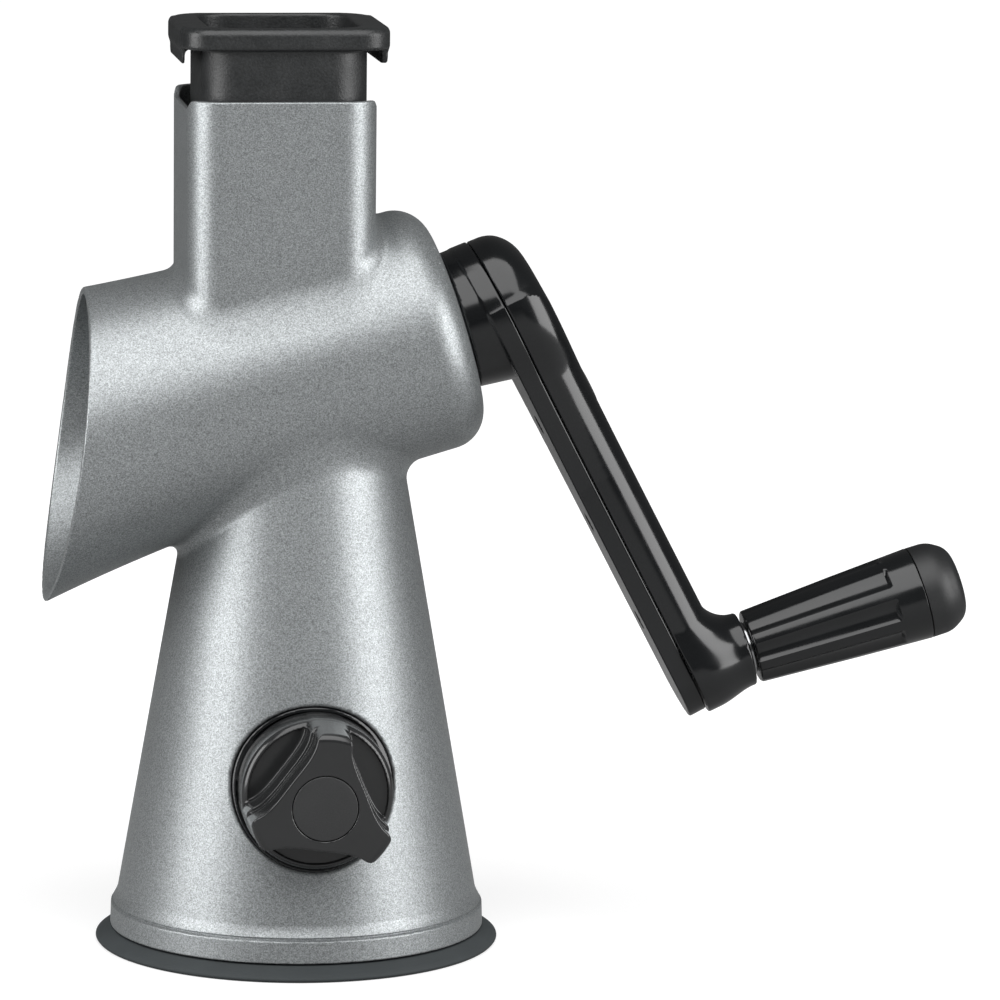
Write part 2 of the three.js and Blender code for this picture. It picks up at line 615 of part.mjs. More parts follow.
function crankOuterShell() {
  const seam = ARM_SEAM + GAP / 2;
  const bossShape = turned('x', [[30, 0], [30, 14.2], [BOSS_END, BOSS_RADIUS], [BOSS_END, 0]], ROUND.medium);
  const boss = inArm(onGripAxis(bossShape)).intersect(beyond(seam));
  const axleBlock = inArm(onGripAxis(rod('x', 20, BOSS_END, 8))).intersect(beyond(seam));
  const hollow = armSlab(seam - 1, ARM_BACK - 2.6, ARM_WALL);
  const cover = armSlab(seam, ARM_BACK, 0, 4).intersect(beyond(seam)).add(boss);
  const shell = joined(cover.subtract(hollow), axleBlock, ...armPosts(seam, ARM_BACK - 2, 3.6));
  const made = cut(
    shell,
    inArm(onGripAxis(rod('x', AXLE_ROOT, 70, AXLE_RADIUS + GAP, ROUND.coarse))),
    ...armPosts(seam - 1, 22.5, 1.8),
    badgeSolid(ARM_BACK - 0.5 - GAP, ARM_BACK + 2, GAP),
  );
  return piece('crank_outer_shell', made, glossBlack);
}

function crankScrews() {
  return CRANK_SCREW_HEIGHTS.map((height, i) => {
    const screw = screwGeometry(2.9, 1.9, 1.4, 10.5).rotateY(Math.PI / 2);
    const placed = screw.translate(ARM_FACE + 2.8 - GAP, 0, height);
    return piece(`crank_screw_${i + 1}`, solid(placed), zincSteel);
  });
}

function shaftScrew() {
  const screw = screwGeometry(4.4, 2.6, 2.1, 20).rotateY(-Math.PI / 2).translate(12.2 + GAP, 0, 0);
  return piece('shaft_screw', solid(screw), zincSteel);
}

// ---- grip, on its own axis ----
function gripAxle() {
  const axle = turned('x', [
    [AXLE_ROOT + 0.4, 0], [AXLE_ROOT + 0.4, AXLE_RADIUS], [122, AXLE_RADIUS], [122, 5.4],
    [124.5, 4.8], [125, 3], [125, 0],
  ], ROUND.coarse);
  return piece('grip_axle', solid(onGripAxis(axle)), steel);
}

function gripWasher() {
  return piece('grip_washer', solid(onGripAxis(ring('x', BOSS_END + GAP, GRIP_START - GAP, AXLE_RADIUS + GAP, 8.5))), steel);
}

function gripSleeve() {
  const [inner, outer] = GRIP_RADII;
  const profile = [
    [GRIP_START, AXLE_RADIUS + GAP + 0.1], [GRIP_START, inner - 1], [GRIP_START + 1, inner], [92, inner + 1.8],
    [GRIP_SPLIT, outer], [GRIP_SPLIT, 10.5], [GRIP_SPLIT - 3, 10.5],
    [GRIP_SPLIT - 3, AXLE_RADIUS + GAP + 0.1], [GRIP_START, AXLE_RADIUS + GAP + 0.1],
  ];
  return piece('grip_sleeve', solid(onGripAxis(turned('x', profile))), glossBlack);
}

function gripCap() {
  const outer = GRIP_RADII[1];
  const start = GRIP_SPLIT + GAP;
  const spigot = GRIP_SPLIT - 3 + GAP;
  const profile = [
    [spigot, 7], [spigot, 10.2], [start, 10.2], [start, outer], [start + 4, outer - 0.4],
    [start + 8, outer - 2.6], [GRIP_END - 1, outer - 6.4], [GRIP_END, outer - 11], [GRIP_END, 0],
    [GRIP_END - 2.5, 0], [GRIP_END - 3.5, 7], [spigot, 7],
  ];
  return piece('grip_cap', solid(onGripAxis(turned('x', profile))), satinBlack);
}

// ---- assembly ----
const armGroup = new THREE.Group();
armGroup.rotation.y = -ARM_TILT;
const badge = badgeSolid(ARM_BACK - 0.5, ARM_BACK - 0.5 + BADGE.thickness, 0);
armGroup.add(
  crankInnerShell(),
  crankOuterShell(),
  ...crankScrews(),
  piece('crank_badge', badge, satinBlack),
);

const axisGroup = new THREE.Group();
axisGroup.position.copy(AXIS_END);
axisGroup.rotation.y = -AXIS_TILT;
axisGroup.add(
  driveBush(), bushClip(), driveShaft(), shaftScrew(),
  drumBarrel(), drumHub(),
  gripAxle(), gripWasher(), gripSleeve(), gripCap(),
  armGroup,
);

const grater = new THREE.Group();
grater.name = 'rotary_cheese_grater';
grater.add(
  bodyShell(), suctionPad(), baseFrame(), ...frameScrews(), liftYoke(), yokeSpring(),
  knobBezel(), knobGroup(), pusher(), axisGroup,
);

export default grater;
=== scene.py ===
"""The looks of a rotary cheese grater with a suction foot, built round its packed frame.

Metres throughout. The origin is the centre of the foot, on the table.
+X is the crank side, -X the mouth, -Y the knob and +Z up.
"""

import json
import math

import bmesh
import bpy
import numpy as np
from mathutils import Matrix, Vector


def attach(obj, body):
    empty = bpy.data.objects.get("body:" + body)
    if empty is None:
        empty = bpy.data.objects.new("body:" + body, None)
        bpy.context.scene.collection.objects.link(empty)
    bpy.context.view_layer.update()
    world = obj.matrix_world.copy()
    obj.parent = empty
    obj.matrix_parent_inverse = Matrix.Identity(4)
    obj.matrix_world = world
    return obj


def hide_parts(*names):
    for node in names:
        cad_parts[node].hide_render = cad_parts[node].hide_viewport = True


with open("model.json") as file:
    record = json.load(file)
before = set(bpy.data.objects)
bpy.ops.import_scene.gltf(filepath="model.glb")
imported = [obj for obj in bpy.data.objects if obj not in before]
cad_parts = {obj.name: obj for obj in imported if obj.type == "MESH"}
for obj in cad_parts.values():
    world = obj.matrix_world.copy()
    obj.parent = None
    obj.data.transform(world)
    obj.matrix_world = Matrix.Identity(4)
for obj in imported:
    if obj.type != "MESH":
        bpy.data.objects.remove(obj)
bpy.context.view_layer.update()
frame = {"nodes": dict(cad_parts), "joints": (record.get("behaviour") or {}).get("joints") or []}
JOINTS = {joint["name"]: joint for joint in frame["joints"]}

bl_info = {
    "name": "Rotary cheese grater",
    "version": (1, 0, 0),
    "blender": (4, 5, 0),
    "location": "3D View > Sidebar > Grater",
    "description": "Builds the finished pieces of a rotary cheese grater round its CAD frame",
    "category": "Object",
}

# ---- sizes that the frame fixes ----
AXIS_TILT = math.radians(17)  # the drum axis falls towards the mouth
ARM_TILT = math.radians(10.6)  # the arm leans outwards from square to the axis
AXIS_END = Vector(JOINTS["crank_turn"]["pos_m"])  # where the axis leaves the housing
KNOB_CENTRE = Vector(JOINTS["knob_turn"]["pos_m"])
CLEARANCE = 0.0003

HOUSING_RADIUS = 0.0391
MOUTH_FLARE = 0.0084
FLARE_LENGTH = 0.145
FLARE_POWER = 2.7
HOUSING_RISE = 0.00055
HOUSING_RISE_RATE = 0.0157
END_WALL = 0.003
SHAFT_HOLE = 0.014
MOUTH_X = (-0.068, -0.070, -0.083)  # control points of the mouth's curve
MOUTH_Z = (0.214, 0.1585, 0.103)
MOUTH_SLANT = 0.985  # turns a distance along X into one about square to the rim
OUTER_END = -0.0015  # where the housing's outside ends, along the axis

CONE_RADIUS = 0.0601
CONE_TAPER = 0.174
CONE_TOP = 0.182
SKIRT_BOTTOM = 0.005
SCREW_CIRCLE = 0.046
FRAME_SCREW_ANGLES = [math.radians(angle) for angle in (90, 210, 330)]
POST_RADIUS = 0.0038
POST_SPAN = (0.0233, 0.074)  # heights of the posts' lower and upper ends
PILOT_RADIUS = 0.0018
PILOT_TOP = 0.044

CHUTE_X = -0.0084
CHUTE_HALF = (0.0297, 0.032)
CHUTE_CORNER = 0.0115
CHUTE_TOP = 0.2715
CHUTE_ROOT = 0.013  # how far the chute starts below the axis's end
DIP_SPAN = (0.0262, 0.0190)  # half lengths of the side walls' dip, at its edge and at its floor

PUSHER_X = -0.0073
PUSHER_LIFT = 0.0154
PUSHER_HALF = (0.026, 0.0285)
FLANGE_HALF = (0.0322, 0.031)
PUSHER_BOTTOM = 0.2265
FLANGE_BOTTOM = 0.2872
FLANGE_TOP = 0.2941
LIP_BOTTOM = 0.2823
LIP_HALF = 0.020
LIP_WALL = 0.0022
LIP_ROOM = 0.0004  # between a lip and the chute's wall
DRUM_ROOM = 0.0014  # between the pusher's hollowed end and the drum
DRUM_RADIUS = 0.0315
DRUM_FAR = -0.088
DRUM_NEAR = -0.010

KNOB_FACE = -0.078
KNOB_FLOOR = -0.057
KNOB_BACK = -0.045
KNOB_DISC = 0.0238
KNOB_HOLE = 0.0254
LOBE_ANGLES = [math.radians(angle) for angle in (82, 202, 322)]
KNOB_LEDGE_DEPTH = 0.0105  # from the face to where the lower half of the sides stands out
KNOB_LIP = (0.0019, 0.0014)  # width and height of the lip round the floor
CAP_RADIUS = 0.0101
CAP_GAP = 0.00022
CAP_DEPTH = 0.0017
SOCKET_DEPTH = 0.0053  # from the knob's floor to the front end of its square socket
KNOB_SCREW_HEAD = (0.0038, -0.074)  # radius of the hole, and where it ends
KNOB_SCREW_SHANK = (0.0018, -0.060)
RING_RADIUS = 0.0247
RING_HALF_WALL = 0.0006
SPINDLE_HALF = 0.0038  # half of the knob's square socket

CRANK_RADIUS = 0.1304  # drum axis to grip axis
ARM_FACE = 0.0072
ARM_SEAM = 0.0133
ARM_BACK = 0.0269
HUB_RADIUS = 0.0225
BOSS_END = 0.0585
GRIP_START = 0.0602
GRIP_SPLIT = 0.1175
GRIP_END = 0.131
SPIGOT = 0.003  # how far the cap reaches into the sleeve
FLUTE_STEP = 0.0006  # spacing of the sleeve's rings where the flutes run
AXLE_RADIUS = 0.003
CRANK_SCREW_HEIGHTS = (-0.042, -0.078, -0.114)
CRANK_SCREW_FLOOR = 0.0028  # from the arm's inner face to the floor of a screw's recess
HUB_WALL = 0.0025
HUB_GROWTH = 0.0015
HUB_REACH = 0.018  # along the axis, over which the hub widens
SHAFT_SOCKET = (0.0053, 0.0071)  # half width, and where it ends along the axis

FLOOR_HALF = 12.0
FLOOR_DROP = 0.0001  # keeps the floor clear of the foot's underside
GLOW_SPAN = (0.10, 0.6)  # distances over which the floor's glow rises to white
LIGHT_AIM = (0, 0, 0.15)
STRIP_TURN = 66  # degrees to each side of the camera
STRIP_PLACE = (1.1, 0.35)  # distance from the axis, and height
STRIP_SIZE = (0.72, 1.1)
OVERHEAD_PLACE = (0.55, 1.05)
OVERHEAD_SIZE = (1.2, 1.3)

TO_AXIS = Matrix.Translation(AXIS_END) @ Matrix.Rotation(-AXIS_TILT, 4, "Y")
TO_ARM = TO_AXIS @ Matrix.Rotation(-ARM_TILT, 4, "Y")
TO_GRIP = TO_AXIS @ Matrix.Translation((0, 0, -CRANK_RADIUS))


# ---- solids given by the distance to their surface, negative inside ----
def rounded_union(a, b, radius):
    """Both solids, with a fillet of that radius where they meet."""
    corner = np.hypot(np.maximum(radius - a, 0), np.maximum(radius - b, 0))
    return np.maximum(radius, np.minimum(a, b)) - corner


def rounded_overlap(a, b, radius):
    """What the solids share, with its new edges rounded to that radius."""
    corner = np.hypot(np.maximum(radius + a, 0), np.maximum(radius + b, 0))
    return np.minimum(-radius, np.maximum(a, b)) + corner


def rounded_cut(a, tool, radius):
    return rounded_overlap(a, -tool, radius)


def rounded_rectangle(u, v, half_u, half_v, corner):
    p = np.abs(u) - half_u + corner
    q = np.abs(v) - half_v + corner
    outside = np.hypot(np.maximum(p, 0), np.maximum(q, 0))
    return outside + np.minimum(np.maximum(p, q), 0) - corner


def smooth_step(value, start, end):
    t = np.clip((value - start) / (end - start), 0, 1)
    return t * t * (3 - 2 * t)


def bezier(points, count):
    """Points on a Bezier curve of two or three arms."""
    t = np.linspace(0, 1, count)[:, None]
    rows = [np.array(p, float) for p in points]
    while len(rows) > 1:
        rows = [a + (b - a) * t for a, b in zip(rows, rows[1:])]
    return rows[0]


def grid_line(low, high, step, *fine):
    """Stops along one axis, closer together in each fine stretch (start, end, step)."""
    stops = [low]
    while stops[-1] < high:
        here = stops[-1] + 1e-7
        closer = [size for start, end, size in fine if start <= here < end]
        stops.append(stops[-1] + min([step, *closer]))
    return np.array(stops)


CORNERS = [(i, j, k) for i in (0, 1) for j in (0, 1) for k in (0, 1)]


def crossing_points(value, cells, lines):
    """For each cell that the surface passes through, the middle of where it crosses the cell's edges."""
    at = {c: value[tuple((cells + np.array(c)).T)] for c in CORNERS}
    total = np.zeros((len(cells), 3))
    hits = np.zeros(len(cells))
    for axis in range(3):
        for start in (c for c in CORNERS if c[axis] == 0):
            end = tuple(1 if i == axis else c for i, c in enumerate(start))
            a, b = at[start], at[end]
            crossed = (a < 0) != (b < 0)
            share = np.where(crossed, a / np.where(crossed, a - b, 1), 0)
            point = np.tile(np.array(start, float), (len(cells), 1))
            point[:, axis] = share
            total += point * crossed[:, None]
            hits += crossed
    middle = total / hits[:, None]
    made = np.empty_like(middle)
    for axis, line in enumerate(lines):
        cell = cells[:, axis]
        made[:, axis] = line[cell] + middle[:, axis] * (line[cell + 1] - line[cell])
    return made


def surface_net(distance, lines):
    """Vertices and quads of the surface where distance is zero, on the grid of those three lines."""
    grid = np.meshgrid(*[line.astype(np.float32) for line in lines], indexing="ij", sparse=True)
    value = distance(*grid)
    inside = value < 0
    size = [n - 1 for n in inside.shape]
    count = np.zeros(size, np.int8)
    for i, j, k in CORNERS:
        count += inside[i:i + size[0], j:j + size[1], k:k + size[2]]
    active = (count > 0) & (count < 8)
    cells = np.argwhere(active)
    number = np.full(size, -1, np.int64)
    number[active] = np.arange(len(cells))
    quads = []
    for axis in range(3):
        steps = np.eye(3, dtype=int)
        b, c = steps[(axis + 1) % 3], steps[(axis + 2) % 3]
        low = [slice(None)] * 3
        high = [slice(None)] * 3
        low[axis], high[axis] = slice(None, -1), slice(1, None)
        edges = np.argwhere(inside[tuple(low)] != inside[tuple(high)])
        quad = np.stack([number[tuple((edges - off).T)] for off in (b + c, c, 0 * b, b)], 1)
        rising = inside[tuple(edges.T)]
        quads.append(np.where(rising[:, None], quad, quad[:, ::-1]))
    return crossing_points(value, cells, lines), np.concatenate(quads)


TETRAHEDRON = np.array([(1, -1, -1), (-1, -1, 1), (-1, 1, -1), (1, 1, 1)], float)


def slope(distance, points, reach=4e-5):
    """The distance at the points and its slope there."""
    value = np.zeros(len(points))
    total = np.zeros((len(points), 3))
    for corner in TETRAHEDRON:
        here = distance(*(points + reach * corner).T)
        value += here / 4
        total += here[:, None] * corner
    return value, total / (4 * reach)


def settle(distance, points, furthest, rounds=3):
    """Moves the points onto the surface, and gives its normals there."""
    for _ in range(rounds):
        value, normal = slope(distance, points)
        steep = np.maximum((normal ** 2).sum(1), 0.05)
        step = np.clip(value / steep, -furthest, furthest)
        points = points - normal * step[:, None]
    _, normal = slope(distance, points)
    return points, normal / np.maximum(np.linalg.norm(normal, axis=1), 1e-9)[:, None]


# ---- meshes and objects ----
def mesh_of(name, vertices, faces):
    """A mesh from an array of points and an array of faces that all have as many corners."""
    mesh = bpy.data.meshes.new(name)
    corners = faces.shape[1]
    mesh.vertices.add(len(vertices))
    mesh.vertices.foreach_set("co", np.asarray(vertices, np.float32).ravel())
    mesh.loops.add(faces.size)
    mesh.loops.foreach_set("vertex_index", faces.astype(np.int32).ravel())
    mesh.polygons.add(len(faces))
    mesh.polygons.foreach_set("loop_start", np.arange(len(faces), dtype=np.int32) * corners)
    mesh.update(calc_edges=True)
    mesh.validate()
    return mesh


def object_of(name, mesh):
    made = bpy.data.objects.new(name, mesh)
    bpy.context.scene.collection.objects.link(made)
    return made


def applied(made):
    """Turns what the object's modifiers give into its plain mesh."""
    graph = bpy.context.evaluated_depsgraph_get()
    mesh = bpy.data.meshes.new_from_object(made.evaluated_get(graph))
    made.modifiers.clear()
    old = made.data
    made.data = mesh
    bpy.data.meshes.remove(old)
    mesh.name = made.name
    return made


def points_of(mesh):
    points = np.zeros(len(mesh.vertices) * 3, np.float32)
    mesh.vertices.foreach_get("co", points)
    return points.reshape(-1, 3).astype(float)


def moulding(name, distance, lines, share=1.0, place=None):
    """A closed moulding from its distance. That share of its triangles stays, fewest where it is flat."""
    cell = min(float(np.median(np.diff(line))) for line in lines)
    points, quads = surface_net(distance, lines)
    points, _ = settle(distance, points, cell / 2)
    made = object_of(name, mesh_of(name, points, quads))
    if share < 1:
        thin = made.modifiers.new("thin", "DECIMATE")
        thin.ratio = share
        applied(made)
    points, normals = settle(distance, points_of(made.data), cell / 4, 2)
    if place is not None:
        turn = np.array(place.to_3x3())
        points = points @ turn.T + np.array(place.translation)
        normals = normals @ turn.T
    made.data.vertices.foreach_set("co", points.astype(np.float32).ravel())
    made.data.shade_smooth()
    made.data.normals_split_custom_set_from_vertices(normals)
    made.data.update()
    return made


def softened(corners, steps=6):
    """A profile of (along, radius, rounding) corners as points, each corner with its own rounding."""
    points = []
    for i, (x, y, rounding) in enumerate(corners):
        here = Vector((x, y))
        if not rounding or i in (0, len(corners) - 1):
            points.append((x, y))
            continue
        back = Vector(corners[i - 1][:2]) - here
        on = Vector(corners[i + 1][:2]) - here
        half = back.angle(on) / 2
        reach = min(rounding / math.tan(half), back.length * 0.49, on.length * 0.49)
        ends = here + back.normalized() * reach, here + on.normalized() * reach
        middle = here + (back.normalized() + on.normalized()).normalized() * (reach / math.cos(half))
        first, last = ends[0] - middle, ends[1] - middle
        sweep = first.angle_signed(last)
        for step in range(steps + 1):
            turn = Matrix.Rotation(-sweep * step / steps, 2)
            points.append(tuple(middle + turn @ first))
    return points


def turned(name, profile, segments, place, sharp=math.radians(32)):
    """A shape turned about X. The profile runs from axis to axis, or round a closed loop."""
    closed = profile[0] == profile[-1]
    rows = profile[:-1] if closed else profile
    vertices, rings = [], []
    for along, radius in rows:
        count = 1 if radius < 1e-9 else segments
        rings.append(range(len(vertices), len(vertices) + count))
        for i in range(count):
            angle = 2 * math.pi * i / segments
            vertices.append((along, radius * math.cos(angle), radius * math.sin(angle)))
    faces = []
    pairs = list(zip(rings, rings[1:])) + ([(rings[-1], rings[0])] if closed else [])
    for a, b in pairs:
        for i in range(segments):
            j = (i + 1) % segments
            corners = [a[i % len(a)], a[j % len(a)], b[j % len(b)], b[i % len(b)]]
            faces.append(list(dict.fromkeys(corners)))
    mesh = bpy.data.meshes.new(name)
    mesh.from_pydata(vertices, [], faces)
    made = object_of(name, mesh)
    finish_mesh(made, sharp)
    mesh.transform(place)
    return made


def finish_mesh(made, sharp):
    """Faces outwards, smooth apart from edges sharper than that."""
    work = bmesh.new()
    work.from_mesh(made.data)
    bmesh.ops.remove_doubles(work, verts=work.verts, dist=1e-6)
    bmesh.ops.recalc_face_normals(work, faces=work.faces)
    if work.calc_volume(signed=True) < 0:
        bmesh.ops.reverse_faces(work, faces=work.faces)
    work.to_mesh(made.data)
    work.free()
    made.data.shade_smooth()
    made.data.set_sharp_from_angle(angle=sharp)


def finished(made, body, finish, slot, *nodes):
    """Gives a piece its material, its body, and the CAD nodes that it stands for."""
    made.data.materials.clear()
    made.data.materials.append(finish)
    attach(made, body)
    if nodes:
        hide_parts(*nodes)
    return made


def dress(finish, *nodes):
    """A CAD node that stays gets a finish of its own."""
    for name in nodes:
        node = frame["nodes"][name]
        for place in node.material_slots:
            place.material = finish


# ---- settings ----
def length_property(name, description, default):
    return bpy.props.FloatProperty(name=name, description=description, default=default, unit="LENGTH")


def angle_property(name, description, default):
    return bpy.props.FloatProperty(name=name, description=description, default=default, subtype="ANGLE")


def share_property(name, description, default):
    return bpy.props.FloatProperty(name=name, description=description, default=default, subtype="FACTOR")


def number_property(name, description, default):
    return bpy.props.FloatProperty(name=name, description=description, default=default)


def count_property(name, description, default, least):
    return bpy.props.IntProperty(name=name, description=description, default=default, min=least)


def colour_property(name, description, default):
    return bpy.props.FloatVectorProperty(
        name=name, description=description, default=default, subtype="COLOR")


# ---- the body: cone, drum housing and food chute in one moulding ----
def along_axis(x, z):
    """Distance along the drum axis from the housing's end, and height above it square to the axis."""
    dx, dz = x - AXIS_END.x, z - AXIS_END.z
    cos, sin = math.cos(AXIS_TILT), math.sin(AXIS_TILT)
    return dx * cos + dz * sin, dz * cos - dx * sin


def housing(x, y, z, inset, start, end_round):
    along, above = along_axis(x, z)
    reach = np.clip(-along, 0, None) / FLARE_LENGTH
    radius = HOUSING_RADIUS + MOUTH_FLARE * reach ** FLARE_POWER
    lift = above - HOUSING_RISE + HOUSING_RISE_RATE * along
    side = np.hypot(y, lift) - radius + inset
    return rounded_overlap(side, along - start, end_round - inset)


def cone_profile():
    """Heights and radii of the cone's outside, from the skirt up through its groove and flare."""
    top = 0.0165
    flare = bezier([(0.0131, 0.0588), (0.0146, 0.05785), (top, CONE_RADIUS - CONE_TAPER * top)], 9)
    rows = [(0, 0.0598), (0.0121, 0.0594), (0.0124, 0.0589), (0.0126, 0.0585), (0.0129, 0.0586)]
    rows += [tuple(point) for point in flare]
    rows.append((0.3, CONE_RADIUS - CONE_TAPER * 0.3))
    return np.array(rows).T


CONE_HEIGHTS, CONE_RADII = cone_profile()


def cone(x, y, z, inset):
    slant = 1 / math.hypot(1, CONE_TAPER)
    return (np.hypot(x, y) - np.interp(z, CONE_HEIGHTS, CONE_RADII) + inset) * slant


def chute(x, y, inset):
    half_x, half_y = CHUTE_HALF
    return rounded_rectangle(x - CHUTE_X, y, half_x - inset, half_y - inset, CHUTE_CORNER - inset)


def mouth(x, z):
    """Positive beyond the mouth's curved rim."""
    curve = bezier(list(zip(MOUTH_Z, MOUTH_X)), 40)[::-1]
    rim = np.interp(z, curve[:, 0], curve[:, 1])
    return (rim - x) * MOUTH_SLANT


def screw_posts(x, y, z):
    """The posts that the foot's screws go into, and the screws' holes."""
    centres = [(SCREW_CIRCLE * math.cos(a), SCREW_CIRCLE * math.sin(a)) for a in FRAME_SCREW_ANGLES]
    nearest = np.minimum.reduce([np.hypot(x - u, y - v) for u, v in centres])
    post = np.maximum(nearest - POST_RADIUS, np.maximum(z - POST_SPAN[1], POST_SPAN[0] - z))
    return post, np.maximum(nearest - PILOT_RADIUS, z - PILOT_TOP)


def body_distance(s):
    def distance(x, y, z):
        tube = housing(x, y, z, 0, OUTER_END, s.end_round)
        foot = np.maximum(cone(x, y, z, 0), z - CONE_TOP)
        outside = rounded_union(tube, foot, s.cone_fillet)
        outside = rounded_union(outside, chute_over(x, y, z, 0), s.chute_fillet)
        tube_hollow = housing(x, y, z, s.wall, -END_WALL, s.end_round)
        hollow = rounded_union(tube_hollow, chute_over(x, y, z, s.chute_wall), s.chute_fillet)
        foot_hollow = np.maximum(cone(x, y, z, s.wall), -tube)
        shell = np.maximum(outside, -np.minimum(hollow, foot_hollow))
        post, bore = screw_posts(x, y, z)
        shell = np.maximum(np.minimum(shell, np.maximum(post, cone(x, y, z, 0.001))), -bore)
        shell = rounded_overlap(shell, mouth(x, z), s.rim_round)
        shell = rounded_overlap(shell, z - chute_top(y, s.dip), s.rim_round * 0.8)
        shell = rounded_overlap(shell, SKIRT_BOTTOM - z, s.rim_round * 0.6)
        along, above = along_axis(x, z)
        shell = np.maximum(shell, -np.maximum(np.hypot(y, above) - SHAFT_HOLE, -0.006 - along))
        knob_hole = np.maximum(np.hypot(x, z - KNOB_CENTRE.z) - KNOB_HOLE, y + 0.02)
        return rounded_cut(shell, knob_hole, s.rim_round * 2)

    return distance


def chute_over(x, y, z, inset):
    """The chute from inside the housing upwards."""
    return np.maximum(chute(x, y, inset), AXIS_END.z - CHUTE_ROOT - z)


def chute_top(y, dip):
    """The rim's height: the two side walls are lower between their corners."""
    return CHUTE_TOP - dip * smooth_step(np.abs(y), *DIP_SPAN)


class BodySettings(bpy.types.PropertyGroup):
    """Sizes and colour of the painted body"""

    wall: length_property("Wall", "Thickness of the cone and housing walls", 0.0023)
    chute_wall: length_property("Chute wall", "Thickness of the chute's walls", 0.002)
    end_round: length_property("End rounding", "Rounding of the housing's closed end", 0.0115)
    chute_fillet: length_property("Chute fillet", "Fillet between chute and housing", 0.0045)
    cone_fillet: length_property("Cone fillet", "Fillet between cone and housing", 0.0055)
    rim_round: length_property("Rim rounding", "Rounding of the mouth's edges", 0.0006)
    dip: length_property("Rim dip", "How much lower the chute's two side walls are", 0.0034)
    cell: length_property("Mesh cell", "Size of the grid that the body is meshed on", 0.001)
    colour: colour_property("Paint", "Colour of the silver paint", (0.275, 0.29, 0.295))
    flake: length_property("Flake size", "Size of the sparkle in the paint", 0.00042)


class GRATER_OT_body(bpy.types.Operator):
    """Build the painted body moulding"""

    bl_idname = "grater.body"
    bl_label = "Body"

    def execute(self, context):
        s = context.scene.grater_body
        cell = s.cell
        lines = (
            grid_line(-0.087, 0.063, cell, (-0.085, -0.066, cell / 2)),
            grid_line(-0.063, 0.063, cell),
            grid_line(0.0035, 0.274, cell, (0.0045, 0.0060, 0.0003), (0.0117, 0.0134, 0.0002),
                      (0.2670, 0.2720, 0.0003)),
        )
        share = 0.4
        body = moulding("body_moulding", body_distance(s), lines, share)
        finished(body, "body", silver_paint(s.colour, s.flake), "silver_shell", "body_shell")
        return {"FINISHED"}


# ---- materials ----
class Finish:
    """A material with its nodes, for building a finish step by step."""

    def __init__(self, name, **values):
        self.material = bpy.data.materials.new(name)
        self.material.use_nodes = True
        self.nodes = self.material.node_tree.nodes
        self.links = self.material.node_tree.links
        self.shader = self.nodes["Principled BSDF"]
        self.place = self.nodes.new("ShaderNodeTexCoord").outputs["Object"]
        for socket, value in values.items():
            self.shader.inputs[socket.replace("_", " ")].default_value = value

    def node(self, kind, links=(), **values):
        """A node with its inputs set, by name, to numbers or to other nodes' outputs."""
        node = self.nodes.new(kind)
        for name, value in values.items():
            if hasattr(node, name) and name not in node.inputs:
                setattr(node, name, value)
            else:
                self.put(node.inputs[name.replace("_", " ")], value)
        for index, value in links:
            self.put(node.inputs[index], value)
        return node

    def put(self, socket, value):
        if isinstance(value, bpy.types.NodeSocket):
            self.links.new(value, socket)
        else:
            socket.default_value = value

    def noise(self, size, detail=2.0, stretch=(1, 1, 1)):
        """Noise with features of that size in metres."""
        scale = self.node("ShaderNodeMapping", Vector=self.place, Scale=[1 / s for s in stretch])
        noise = self.node("ShaderNodeTexNoise", Vector=scale.outputs[0], Scale=1 / size, Detail=detail)
        return noise.outputs["Fac"]

    def cells(self, size):
        """Random values, one for each small cell of that size in metres."""
        cells = self.node("ShaderNodeTexVoronoi", Vector=self.place, Scale=1 / size)
        parts = self.node("ShaderNodeSeparateColor", Color=cells.outputs["Color"])
        return parts.outputs[0]

    def mapped(self, value, low, high, start=0.0, end=1.0):
        node = self.node("ShaderNodeMapRange", Value=value)
        for name, number in (("From Min", start), ("From Max", end), ("To Min", low), ("To Max", high)):
            node.inputs[name].default_value = number
        return node.outputs[0]

    def shade(self, colour, value):
        """The colour, scaled by the value."""
        node = self.node("ShaderNodeMix", data_type="RGBA", blend_type="MULTIPLY")
        node.inputs["Factor"].default_value = 1
        grey = self.node("ShaderNodeCombineColor", links=[(0, value), (1, value), (2, value)])
        node.inputs[6].default_value = (*colour, 1)
        self.links.new(grey.outputs[0], node.inputs[7])
        self.links.new(node.outputs[2], self.shader.inputs["Base Color"])

    def roughness(self, value):
        self.links.new(value, self.shader.inputs["Roughness"])

    def bump(self, value, height, strength=1.0):
        bump = self.node("ShaderNodeBump", Height=value, Strength=strength, Distance=height)
        self.links.new(bump.outputs[0], self.shader.inputs["Normal"])


def silver_paint(colour, flake):
    """Silver-grey metallic paint with fine flakes."""
    paint = Finish("silver paint", Metallic=0.72, Coat_Weight=0.0, Specular_IOR_Level=0.5)
    grain = paint.noise(flake, 1.0)
    sparkle = paint.cells(flake * 0.8)
    parts = [(0, sparkle), (1, 0.35), (2, grain)]
    both = paint.node("ShaderNodeMath", operation="MULTIPLY_ADD", links=parts).outputs[0]
    paint.shade(colour, paint.mapped(both, 0.6, 1.42, 0.38, 1.0))
    paint.roughness(paint.mapped(paint.noise(0.012, 2), 0.40, 0.46))
    paint.bump(grain, 0.00007, 0.5)
    return paint.material


def gloss_black(name="gloss black plastic", colour=(0.0055, 0.006, 0.0065), low=0.12, high=0.18):
    """Polished black plastic with faint wiping marks."""
    plastic = Finish(name, IOR=1.5)
    marks = plastic.noise(0.02, 3, stretch=(1, 1, 0.4))
    plastic.shade(colour, plastic.mapped(marks, 0.85, 1.15))
    plastic.roughness(plastic.mapped(marks, low, high, 0.3, 0.7))
    plastic.bump(plastic.noise(0.009, 1), 0.00002, 0.12)
    return plastic.material


